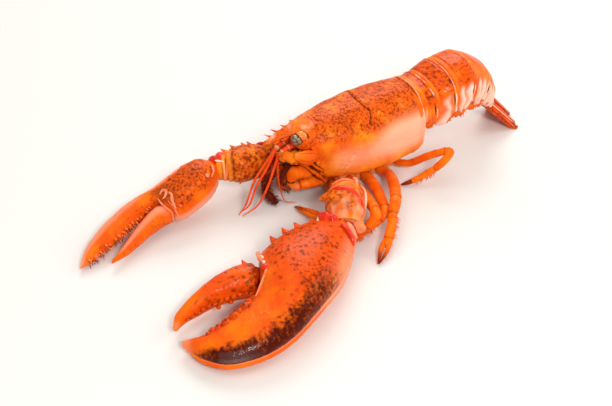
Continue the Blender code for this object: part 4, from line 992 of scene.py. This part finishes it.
def claw_grid(ribs, rows, around):
    """Rings over smoothed ribs in the claw's own plane: each a superellipse from edge to edge.
    Returns the grid, the place along the ribs and the turn in degrees, 0 at the far edge, 90 on top."""
    line = smooth(ribs, rows)[:, None, :]
    turn = np.arange(around)[None, :] / around * 360
    c, s = squared(np.radians(turn), 2.2)
    near_s, near_u, far_s, far_u, thick, lift = np.moveaxis(line, 2, 0)
    grid = np.stack([(near_s + far_s) / 2 + (far_s - near_s) / 2 * c,
                     (near_u + far_u) / 2 + (far_u - near_u) / 2 * c, lift + thick * s], axis=2)
    rib = np.linspace(0, len(ribs) - 1, rows)[:, None]
    return grid, rib + 0 * turn, (turn + 180) % 360 - 180 + 0 * rib


def in_frame(parts, claw):
    """Parts moved from a claw's own plane, its (origin, axes), into the body's frame, above the table."""
    origin, axes = claw
    return [(above(origin + points @ axes, 0.05), *rest) for points, *rest in parts]


def band(rib, turn, table, soft=12):
    """How far inside a region a point lies: rows of (rib, lower turn, upper turn, strength), with an
    upper border soft degrees to each side."""
    at, low, high, strong = np.array(table, float).T
    low, high, strong = (np.interp(rib, at, k) for k in (low, high, strong))
    return strong * ease(turn, low - 7, low + 7) * ease(turn, high + soft, high - soft)


def capped(grid, **masks):
    """A claw's grid closed by domes, with its masks carried on over the rows that the domes add."""
    pad = ((DOME_ROWS, DOME_ROWS), (0, 0))
    masks = {key: np.pad(np.broadcast_to(mask, grid.shape[:2]), pad, mode="edge")
             for key, mask in masks.items()}
    return closed(domed(grid), **masks)


def molar(place, wide, seed, stretch, **masks):
    """A blunt tooth: an uneven ball, stretched along the claw."""
    tooth = ball(place, (wide * stretch, wide, wide * 0.95), rows=12, around=18)
    return closed(relief(tooth, 0.06 * wide * waves(tooth, 2.2 * wide, seed)), **masks)


crusher_shell = boiled_shell("boiled_crusher_shell", "#FC7204", "#E84E0A", "#862E06", "#FF9A70", "#4C0C02",
                             mottle=2.3, blotch=16, dots=4.6, flecked=0.28, rough=0.29, pits=1.1,
                             pit_depth=0.18, wet=1.0, ragged=1.3)
shader = crusher_shell.node_tree.nodes["Principled BSDF"]
shader.inputs["Coat Roughness"].default_value = 0.10
shader.inputs["Coat IOR"].default_value = 1.8
grid, rib, turn = claw_grid(CRUSHER_PALM, 230, 180)
rim = ease(rib, 1.0, 2.2) * ease(rib, 11, 10)
# in mm: a bead and a groove along the outer edge, unevenness, and a groove along the palm's inner edge
height = (rim * (0.9 * hump(turn, -24, 11) - 0.7 * hump(turn, -7, 5)) + 0.10 * waves(grid, 24, 61)
          + 0.05 * waves(grid, 4, 62) - 0.5 * hump(turn, 150, 8) * rim * (rib < 5.5))
grid = relief(grid, height)
# the dark stain along the outer side, with a ragged border, wettest toward the tip
ragged = turn + (4.0 * waves(grid, 12, 65) + 3.0 * waves(grid, 4.5, 66)) * ease(turn, 0, 20)
stain = band(rib, ragged, ((2.4, -4, 30, 0.0), (3.0, -4, 44, 0.35), (3.8, -4, 56, 0.68), (5, -4, 56, 0.80),
                           (6, -4, 54, 0.86), (7, -4, 57, 0.89), (7.9, -4, 62, 0.93), (8.5, -4, 62, 1.0),
                           (9.3, -4, 60, 0.93), (10, -2, 50, 0.7), (10.7, 0, 40, 0.2), (11, 0, 40, 0.0)), 26)
# round brown dots over the palm and down the inner slope of the fixed finger
spots = band(rib, turn, ((0.4, 20, 170, 0.0), (1.0, 20, 178, 0.8), (3.0, 30, 178, 1.0), (4.6, 50, 150, 1.0),
                         (5.6, 52, 100, 0.5), (6.4, 60, 90, 0.0)))
inner_slope = band(rib, turn, ((5.8, 110, 185, 0.0), (6.6, 115, 185, 0.6), (9.4, 115, 185, 0.7),
                               (10.2, 115, 185, 0.1)))
spots = spots + 0.9 * inner_slope
stain = stain + 0.12 * inner_slope
# pink: a painted sheen on the outer side near the wrist; the bead along the outer edge, the tip and the inner
# edge are pink shell
sheen = band(rib, turn, ((0.6, -30, 54, 0.35), (2.0, -30, 50, 0.55), (3.2, -30, 40, 0.5), (4.2, -20, 10, 0.2),
                         (5.0, -20, 6, 0.0)), 26)
sheen = (sheen + 0.55 * hump(turn, -7, 4) * rim + 0.55 * ease(rib, 10.1, 10.9)
         + 0.35 * hump(turn, 172, 18) * (rib > 5.4))
parts = [capped(grid, spots=spots, dark=stain, pale=sheen)]
# along, outward, height and half width
molars = ((90.4, 10.6, 16.6, 2.8), (95.8, 13.4, 19.6, 3.0), (101.0, 16.8, 21.4, 3.4),
          (105.8, 16.6, 20.2, 2.7), (110.8, 16.4, 19.2, 3.3), (116.8, 16.2, 17.6, 3.1),
          (120.6, 13.6, 15.0, 2.5), (124.2, 11.8, 12.6, 2.7), (128.8, 13.8, 13.8, 2.4),
          (132.6, 11.8, 11.8, 1.9), (98.0, 10.4, 14.6, 3.0), (104.6, 12.0, 14.6, 3.2),
          (112.6, 12.6, 13.6, 3.0), (118.4, 12.0, 12.2, 2.6))
for number, (s, u, lift, wide) in enumerate(molars):
    parts.append(molar((s, u, lift), wide, 200 + number, 1.15, dark=0.4, spots=0.8))
foot, _ = on_surface(grid, CRUSHER_THORNS)
parts.append(spikes(foot + (0.6, 2.0, -0.4), foot + (-0.8, -4.8, 0.8), 3.0, rows=9, around=16,
                    dark=(0.0, 0.2), spots=(0.9, 0.6)))
piece("crusher_palm", in_frame(parts, CRUSHER), crusher_shell, "crusher_shell", "arm_left_propodus")

# the hinged finger: a low ridge and a groove run along its top, and it is olive at its root
grid, rib, turn = claw_grid(CRUSHER_FINGER, 150, 110)
turn = (180 - turn + 180) % 360 - 180                    # 0 at the inner, thumb-side edge instead
grid = relief(grid, 0.08 * waves(grid, 14, 63) + 0.05 * waves(grid, 4, 64) + 0.7 * hump(turn, 24, 16)
              - 0.5 * hump(turn, 52, 9) * ease(rib, 5.6, 4.6))
olive = band(rib, turn, ((0.0, 20, 200, 0.5), (0.4, 40, 190, 0.32), (0.9, 60, 160, 0.08), (2, 80, 140, 0.0)))
spots = band(rib, turn, ((0, 0, 200, 0.9), (2, 20, 170, 0.8), (4, 110, 180, 0.5), (5.5, 120, 180, 0.0)))
pale = 0.45 * ease(rib, 5.0, 6.0) + 0.25 * hump(turn, 24, 20)
parts = [capped(grid, spots=spots, dark=olive, pale=pale)]
molars = ((87.0, 0.6, 14.6, 2.2), (91.6, -1.2, 14.4, 2.0), (95.6, -2.6, 14.4, 2.3), (99.8, -3.8, 14.2, 2.0),
          (103.8, -5.2, 13.8, 2.3), (108.0, -6.2, 13.4, 1.9), (112.0, -7.2, 13.0, 2.0),
          (116.4, -8.0, 12.2, 1.7), (120.6, -8.6, 11.6, 1.7), (124.8, -9.2, 11.0, 1.4),
          (128.6, -9.6, 10.6, 1.2), (97.8, -2.8, 11.0, 2.0), (106.0, -5.0, 10.4, 1.8))
for number, (s, u, lift, wide) in enumerate(molars):
    parts.append(molar((s, u, lift - 0.6), wide * 0.88, 220 + number, 1.1, dark=0.35, spots=0.7))
parts.append(spikes((74.5, -14.6, 18.0), (73.4, -20.6, 19.4), 2.4, rows=9, around=16))
piece("crusher_finger", in_frame(parts, CRUSHER), crusher_shell, "crusher_shell", "arm_left_dactylus")

# the hinge: a glossy red ball, one painted dark that fills the gap as painted shade, and pale torn skin along
# the edges
parts = [closed(ball((73.4, 3.6, 28.2), (3.3, 3.0, 2.9))),
         closed(ball((75.5, -6.5, 15.0), (6.5, 7.5, 7.0), facing((0.4, 1, 0))), dark=0.6)]
piece("crusher_hinge", in_frame(parts, CRUSHER), joint_skin, "crusher_shell")
parts = [cord(((64.6, -14.0, 25.0), (67.4, -11.2, 27.0), (69.4, -8.8, 27.2), (70.4, -6.0, 28.2),
               (71.2, -2.4, 28.2)), (0.7, 1.5, 1.1, 1.7, 0.9), pale=0.2),
         closed(ball((68.4, -6.6, 27.6), (1.2, 2.0, 1.0)), pale=0.8),
         closed(ball((70.9, -1.4, 28.2), (1.1, 1.5, 1.2)), pale=0.8),
         cord(((73.4, 5.0, 29.6), (76.0, 5.9, 28.4), (79.9, 7.3, 24.4), (86.1, 10.6, 22.0),
               (91.4, 13.4, 21.6)), (0.5, 0.8, 0.9, 0.8, 0.3), pale=0.1)]
piece("crusher_hinge_skin", in_frame(parts, CRUSHER), pink_skin, "crusher_shell")

# ---- Cutter claw -------------------------------------------------------------------------
# The slimmer right claw, its edges painted pink as a painted reflection. Its fixed finger has a
# bristly inner edge, and a row of blunt bumps runs along the palm to the curled rims of the hinge.

first = unit((0.254, -0.946, -0.1905))
second = np.array([0.955, 0.274, -0.085])
second = unit(second - first * (second @ first))
third = np.cross(second, first)
CUTTER = (np.array([-20.3, -143.9, 25.0]), np.stack([first, second, third * np.sign(third[2])]))
# ribs as on the crusher, but u runs the other way, toward the hinged finger
CUTTER_PALM = ((5.0, 7.0, 3.0, -8.8, 8.4, 0.0), (9.5, 10.4, 7.5, -13.6, 11.2, 0.5),
               (18.6, 14.2, 16.8, -16.8, 12.4, 0.5), (32.0, 15.4, 31.0, -18.0, 12.0, 0.0),
               (46.5, 12.8, 45.0, -19.2, 10.5, -0.5), (52.5, -5.5, 56.0, -20.8, 8.2, -0.8),
               (64.0, -6.5, 66.0, -22.4, 7.4, -1.0), (78.0, -5.2, 80.0, -21.8, 6.8, -1.0),
               (92.0, -3.8, 95.0, -18.6, 6.0, -0.6), (104.0, -3.2, 107.0, -13.6, 4.6, 0.0),
               (113.0, -2.6, 115.5, -7.8, 3.0, 0.6), (119.0, -2.6, 120.0, -3.8, 1.0, 1.2))
CUTTER_FINGER = ((50.5, 10.4, 54.5, -4.4, 7.6, -0.5), (58.0, 9.0, 60.5, -4.2, 6.9, -0.6),
                 (68.0, 8.6, 69.0, -2.2, 6.0, -0.6), (80.0, 9.6, 80.0, 1.0, 4.9, -0.3),
                 (92.0, 10.4, 91.5, 5.0, 3.5, 0.2), (103.0, 9.4, 102.5, 8.2, 1.1, 1.0))

cutter_shell = boiled_shell("boiled_cutter_shell", "#FA7212", "#E4540C", "#7C2C08", "#FC9A76", "#6A340A",
                            mottle=2.0, blotch=13, dots=3.4, flecked=0.36, rough=0.30, pits=1.2)
# the palm and fixed finger: a groove along the finger's top; the pink along both edges and over the finger's
# top is painted reflection, and the tip is lighter
grid, rib, turn = claw_grid(CUTTER_PALM, 204, 140)
turn = turn % 360
grid = relief(grid, 0.10 * waves(grid, 18, 71) + 0.06 * waves(grid, 4, 72)
              - 0.5 * hump(turn, 76, 10) * ease(rib, 4.2, 5.6) * ease(rib, 10.5, 9))
stain = band(rib, turn, ((0.2, 66, 120, 0.0), (0.8, 62, 125, 0.22), (2, 60, 126, 0.26), (3.2, 70, 126, 0.28),
                         (3.8, 60, 130, 0.5), (4.3, 60, 130, 0.5), (4.8, 90, 120, 0.0)))
spots = band(rib, turn, ((0.2, 50, 150, 0.5), (2, 48, 150, 1.0), (4.4, 60, 150, 0.8), (5.0, 120, 190, 0.4),
                         (9, 120, 190, 0.6), (11, 120, 190, 0.3)))
pale = (0.9 * ease(turn, 64, 38) * (turn < 100) + 0.85 * ease(turn, 158, 186) * ease(rib, 4.9, 4.2)
        + 0.55 * ease(turn, 112, 70) * ease(rib, 4.4, 5.4) + 0.4 * ease(rib, 9.6, 10.6))
parts = [capped(grid, spots=spots, dark=stain, pale=np.clip(pale, 0, 0.95))]
# blunt bumps: along, outward and half width, seven along the inner side and three along the outer
for s, u, wide in ((4.4, 7.5, 1.7), (11.9, 9.6, 2.1), (17.7, 10.2, 1.8), (23.6, 10.4, 2.4),
                   (29.3, 10.6, 1.8), (34.7, 10.8, 2.2), (39.4, 10.8, 1.8), (8.5, -12.0, 1.6),
                   (20, -15.0, 1.7), (32, -16.4, 1.6)):
    (foot,), (outward,) = on_surface(grid, (s, u, 14.0))
    lump = ball(foot - outward * 0.8, (wide * 1.15, wide * 0.66, wide * 0.75), facing(outward), 12, 18)
    parts.append(closed(relief(lump, 0.12 * waves(lump, 2.6, 74)), pale=0.2, spots=0.3))
# small teeth scattered along the fixed finger's inner edge
rng = np.random.default_rng(5)
count = 46
along = (rng.uniform(0.0, 1.0, count) * 199).astype(int)
inner = smooth(((56, -6.6), (71, -5.4), (86, -4.0), (100, -3.0), (113, -2.4)), 200)[along]
foot = np.column_stack([inner, rng.uniform(-2.5, 3.4, count)])
reach = np.column_stack([rng.normal(0, 0.5, count), rng.uniform(0.8, 1.9, count),
                         rng.normal(0.4, 0.5, count)])
parts.append(spikes(foot - (0, 1.4, 0), foot + reach, 0.95, rows=4, around=7, pale=(0.1, 0.6)))
piece("cutter_palm", in_frame(parts, CUTTER), cutter_shell, "cutter_shell", "arm_right_propodus")

# the hinged finger: a ridge along its top with a groove beside it, painted pink over the ridge as painted
# reflection
grid, rib, turn = claw_grid(CUTTER_FINGER, 130, 90)
turn = turn % 360
grid = relief(grid, 0.06 * waves(grid, 14, 73) + 0.4 * hump(turn, 96, 12) - 0.35 * hump(turn, 120, 8))
pale = 0.62 * hump(turn, 84, 34) * ease(rib, 4.9, 4.0) + 0.2 * hump(rib, 0.4, 0.4)
piece("cutter_finger", in_frame([capped(grid, spots=0.3, pale=pale)], CUTTER), cutter_shell,
      "cutter_shell", "arm_right_dactylus")

# the curled pink rims of the hinge
rims = [cord(((46.8, -5.1, 9.4), (43.6, -5.8, 10.2), (42.8, -3.1, 10.4), (45.6, -0.8, 10.2),
              (49.0, 0.6, 10.8)), (0.6, 0.9, 1.1, 0.9, 0.4), pale=0.1, dark=0.1),
        cord(((42.2, -1.0, 10.6), (42.6, 2.3, 10.8), (45.4, 6.0, 11.0), (46.9, 9.0, 10.0), (47.6, 11.6, 8.2)),
             (0.6, 1.0, 1.2, 0.9, 0.5), pale=0.1, dark=0.1),
        cord(((47.2, 3.6, 9.2), (47.4, 7.6, 8.0), (48.0, 11.2, 5.4), (49.0, 14.4, 4.0)),
             (0.4, 0.7, 0.7, 0.4), dark=0.2),
        cord(((50.0, -3.8, 8.8), (51.4, 0.8, 9.2), (51.6, 5.6, 8.4), (51.0, 10.6, 6.2), (52.6, 13.4, 1.6)),
             (0.4, 0.7, 0.7, 0.7, 0.4), dark=0.3)]
piece("cutter_hinge_rims", in_frame(rims, CUTTER), pink_skin, "cutter_shell")
# and fine dark hairs along the same edge
count = 150
along = (rng.uniform(0.02, 0.98, count) * 199).astype(int)
inner = smooth(((56, -6.2), (71, -5.0), (86, -3.6), (100, -2.6), (115, -2.2)), 200)[along]
foot = np.column_stack([inner[:, 0], inner[:, 1] - 0.6, rng.uniform(-4, 2.0, count)])
reach = np.column_stack([rng.normal(0.4, 0.5, count), rng.uniform(1.0, 2.6, count),
                         rng.normal(0, 0.5, count)])
piece("cutter_hairs", in_frame([spikes(foot, foot + reach, 0.22, rows=3, around=4)], CUTTER), setae,
      "cutter_shell")

# ---- Walking legs ------------------------------------------------------------------------
# Four thin jointed legs a side, smooth and orange, with darker knees. The first three on the left end in
# small dark pincers, and stiff pale hairs stand on their last pieces.

LEG_PIECES = ("merus", "carpus", "propodus", "dactylus")
# each left leg: its pieces from the body outward, a path and the radii along it
LEGS_LEFT = (
    ((((13.8, -57, 5.3), (25, -58, 6.6), (48, -64.5, 14.5), (69, -70.6, 21)), (4.5, 4.6, 4.7, 4.2)),
     (((69, -70.6, 21), (74.5, -73.6, 19.5), (74, -79, 12.5)), (4.0, 4.2, 3.4)),
     (((74, -79, 12.5), (70, -82.5, 9.8), (60, -89, 6.6), (47, -95, 6.0)), (3.3, 3.2, 3.2, 3.6)),
     (((47, -95, 6.0), (34, -100.5, 4.8), (19.8, -104.2, 2.6)), (3.4, 2.8, 1.0))),
    ((((13.8, -44, 5.3), (25, -45, 6.4), (45, -51.5, 10.5), (62, -58, 13)), (4.4, 4.5, 4.5, 4.0)),
     (((62, -58, 13), (67, -60.6, 12.2), (68.7, -65.4, 8.8)), (3.8, 3.8, 3.2)),
     (((68.7, -65.4, 8.8), (68.4, -75.5, 4.4), (71.5, -87, 3.0)), (3.0, 2.8, 2.4)),
     (((71.5, -87, 3.0), (74, -94, 2.2), (77, -99.5, 1.4)), (2.3, 1.8, 0.6))),
    ((((13.8, -31, 5.2), (26, -30.4, 7.0), (46, -39.5, 14.5), (64, -50.0, 19)), (4.4, 4.4, 4.7, 4.5)),
     (((64, -50.5, 19), (69, -54, 18.6), (74, -59, 16)), (4.3, 4.5, 3.8)),
     (((74, -59, 16), (80, -63.6, 12), (86.5, -70, 7.2)), (3.8, 3.7, 3.9)),
     (((86.5, -70, 7.2), (93, -78, 3.8), (99.3, -86, 1.6)), (3.7, 3.0, 0.9))),
    ((((13.8, -16, 5.3), (24, -10.5, 9.0), (34, -2.2, 18.5), (44.5, 4.6, 27)), (3.3, 3.3, 3.4, 3.3)),
     (((44.5, 4.6, 27), (48.0, 5.6, 27.6), (48.8, 1.6, 23.2), (46, -4.6, 15.8)), (3.3, 3.4, 3.4, 3.1)),
     (((46, -4.6, 15.8), (42.5, -11.5, 10), (38.5, -18.7, 5)), (3.0, 2.9, 2.4)),
     (((38.5, -18.7, 5), (36.4, -21.8, 2.9), (34.2, -24.8, 1.2)), (2.3, 1.8, 0.8))),
)
# the right legs fold back beside the body: root y, knee, ankle and tip
LEGS_RIGHT = ((-57, (-46, -57, 14), (-56, -47, 7), (-60, -36, 1.2)),
              (-44, (-45, -40, 14), (-56, -28, 7), (-60, -17, 1.2)),
              (-31, (-44, -22, 14), (-54, -9, 7), (-58, 3, 1.2)),
              (-16, (-40, -2, 16), (-46, 12, 8), (-50, 22, 1.2)))
leg_shell = boiled_shell("boiled_leg_shell", "#FB7A12", "#EA5A08", "#A83808", "#FFB080", "#7A1808",
                         mottle=1.8, blotch=9, rough=0.32, pits=1.2, pit_depth=0.06, coat=0.08)


def leg_part(path, radii, seed, tip=False):
    """One hard piece of a leg: narrow at its foot, flared with a bead where the next is hinged."""
    grid, run, left = limb_grid(path, np.array(radii) * 0.88, 56, 26, 0.90, seed=seed, lumps=0.025)
    size = float(np.mean(radii))
    inner, at, to = (rows[DOME_ROWS:-DOME_ROWS] for rows in (grid, run, left))
    swell = -0.10 * size * ease(at, 2.4, 0.0)
    if not tip:
        swell = swell + 0.04 * size * hump(to, 2.0, 1.6) - 0.05 * size * hump(to, 0.0, 0.6)
    grid = domed(relief(inner, swell + 0 * inner[..., 0]))
    knee = 0.4 * ease(run, 1.6, 0.4) + (0.0 if tip else 0.45 * ease(left, 1.0, 0.3))
    return closed(above(grid, 0.15), spots=0.12, dark=knee + (0.8 * ease(left, 18, 2) if tip else 0.0),
                  pale=0.0 if tip else 0.15 * hump(left, 2.6, 1.2))


hairs = []
for number, pieces in enumerate(LEGS_LEFT):
    prefix = "leg_left_%d" % (number + 1)
    for name, (path, radii) in zip(LEG_PIECES, pieces):
        if name == "dactylus" and number < 3:
            # the pincer: two curved blades with a narrow gap, the outer one hinged
            path = np.array(path, float)
            side = unit(np.cross(path[-1] - path[0], (0, 0, 1)))
            middle = (path[0] + path[-1]) / 2
            parts = []
            for way, thin in ((1, 1.0), (-1, 0.9)):
                blade = (path[0] + side * way * 1.5, middle + side * way * radii[1] * 0.72 + (0, 0, 0.3),
                         path[-1] + side * way * 0.3)
                parts.append(leg_part(blade, [r * 0.62 * thin for r in radii], 90 + number, True))
            palm = (path[0], path[0] * 0.72 + path[-1] * 0.28)
            parts.append(leg_part(palm, (radii[0], radii[0] * 0.72), 95))
            count = 60 if number else 150
            hairs.append(bristles(path, radii, count, 2.4, 96 + number, (0.1, 0.9), 0.9, 0.15))
        else:
            parts = [leg_part(path, radii, 81 + number, name == "dactylus")]
        piece(prefix + "_" + name, parts, leg_shell, "leg_shell", prefix + "_" + name)
    hairs.append(bristles(*pieces[2], 40, 2.8, 100 + number, (0.1, 0.95), 0.3, 0.26, toward=(0.8, 0.5, 0)))
for number, (root_y, knee, ankle, tip) in enumerate(LEGS_RIGHT):
    prefix = "leg_right_%d" % (number + 1)
    knee, ankle, tip = (np.array(place, float) for place in (knee, ankle, tip))
    hip = np.array([-25.0, root_y + 0.5, 6.4])
    bend = knee + unit(ankle - knee) * 6.0 + (-3.0, -1.0, 1.5)
    thigh = (np.array([-13.8, root_y, 5.3]), hip, (hip + knee) / 2, knee)
    piece(prefix + "_thigh", [leg_part(thigh, (4.4, 4.5, 4.6, 4.1), 110 + number)], leg_shell, "leg_shell",
          prefix + "_merus")
    # the shin's three pieces: two hinges part them, one halfway from bend to ankle, one past the ankle
    upper, lower = (bend + ankle) / 2, ankle * 0.6 + tip * 0.4
    parts = [leg_part((knee, bend, upper), (4.0, 4.0, 3.8), 120 + number),
             leg_part((upper, ankle, lower), (3.8, 3.6, 3.0), 120 + number),
             leg_part((lower, (ankle + tip * 2) / 3, tip), (3.0, 2.2, 0.8), 120 + number, True)]
    piece(prefix + "_shin", parts, leg_shell, "leg_shell", prefix + "_propodus")
    hairs.append(bristles((knee, bend, ankle, tip), (4.0, 3.9, 3.2, 0.9), 50, 2.2, 130 + number,
                          (0.5, 0.95), 0.5, 0.15))
piece("leg_hairs", hairs, fringe_hair, "leg_shell")

# ---- Floor, light and camera -------------------------------------------------------------
# A plain white table under soft lamps: a small bright pair on the crusher's side for the glints,
# broad ones behind the other side, behind the tail and overhead, and an even pale surround.

FLOOR_HALF, FLOOR_DROP = 6.0, 0.0002        # metres; the drop keeps the underside clear of the table
floor_mesh = bpy.data.meshes.new("table_top")
floor_mesh.from_pydata([(a * FLOOR_HALF, b * FLOOR_HALF, -FLOOR_DROP)
                        for a, b in ((-1, -1), (1, -1), (1, 1), (-1, 1))], [], [(0, 1, 2, 3)])
table_top = bpy.data.objects.new("table_top", floor_mesh)
bpy.context.scene.collection.objects.link(table_top)
white_board, tree, shader = blank("white_painted_board")     # flat paint, matt
shader.inputs["Base Color"].default_value = linear("#E4E2DC")
shader.inputs["Roughness"].default_value = 0.55
shader.inputs["Specular IOR Level"].default_value = 0.2
floor_mesh.materials.append(white_board)

scene = bpy.context.scene
scene.view_settings.view_transform = "Standard"
world = bpy.data.worlds.new("pale_surround")
world.use_nodes = True
surround = world.node_tree.nodes["Background"]
surround.inputs["Color"].default_value = linear("#FFFDFB")
surround.inputs["Strength"].default_value = 0.48
scene.world = world
middle = HOME + np.array([0.02, -0.09, 0.03])


def outward_from(azimuth, elevation):
    """The direction of a place round the lobster in degrees: 0 in front of it, 90 on its left."""
    az, el = math.radians(azimuth), math.radians(elevation)
    return np.array([math.sin(az) * math.cos(el), -math.cos(az) * math.cos(el), math.sin(el)])


def lamp(name, azimuth, elevation, distance, size, power):
    """A square soft lamp aimed at the lobster: distance and size in metres, power in watts."""
    away = outward_from(azimuth, elevation)
    light = bpy.data.lights.new(name, "AREA")
    light.size = size
    light.energy = power
    made = bpy.data.objects.new(name, light)
    made.location = Vector(middle + away * distance)
    made.rotation_euler = Vector(-away).to_track_quat("-Z", "Y").to_euler()
    scene.collection.objects.link(made)


lamp("key_softbox", 78, 40, 1.5, 0.36, 5.0)
lamp("key_softbox_centre", 78, 40, 1.49, 0.2, 6.0)
lamp("rear_softbox", -120, 42, 1.6, 0.9, 12)
lamp("side_softbox", 165, 30, 1.6, 0.9, 7)
lamp("top_softbox", 20, 78, 1.6, 1.2, 5.5)

VIEW_ROUND, VIEW_DOWN, VIEW_DISTANCE = 60, 38, 846.0
AIM = np.array([17.15, -93.96, 0.0])
LENS, SENSOR = 70.59, 36.0
back = outward_from(VIEW_ROUND, VIEW_DOWN)
camera_data = bpy.data.cameras.new("camera")
camera_data.lens = LENS
camera_data.sensor_width = SENSOR
camera = bpy.data.objects.new("camera", camera_data)
camera.location = Vector(HOME + (AIM + back * VIEW_DISTANCE) * MM)
camera.rotation_euler = Vector(-back).to_track_quat("-Z", "Y").to_euler()
scene.collection.objects.link(camera)
scene.camera = camera
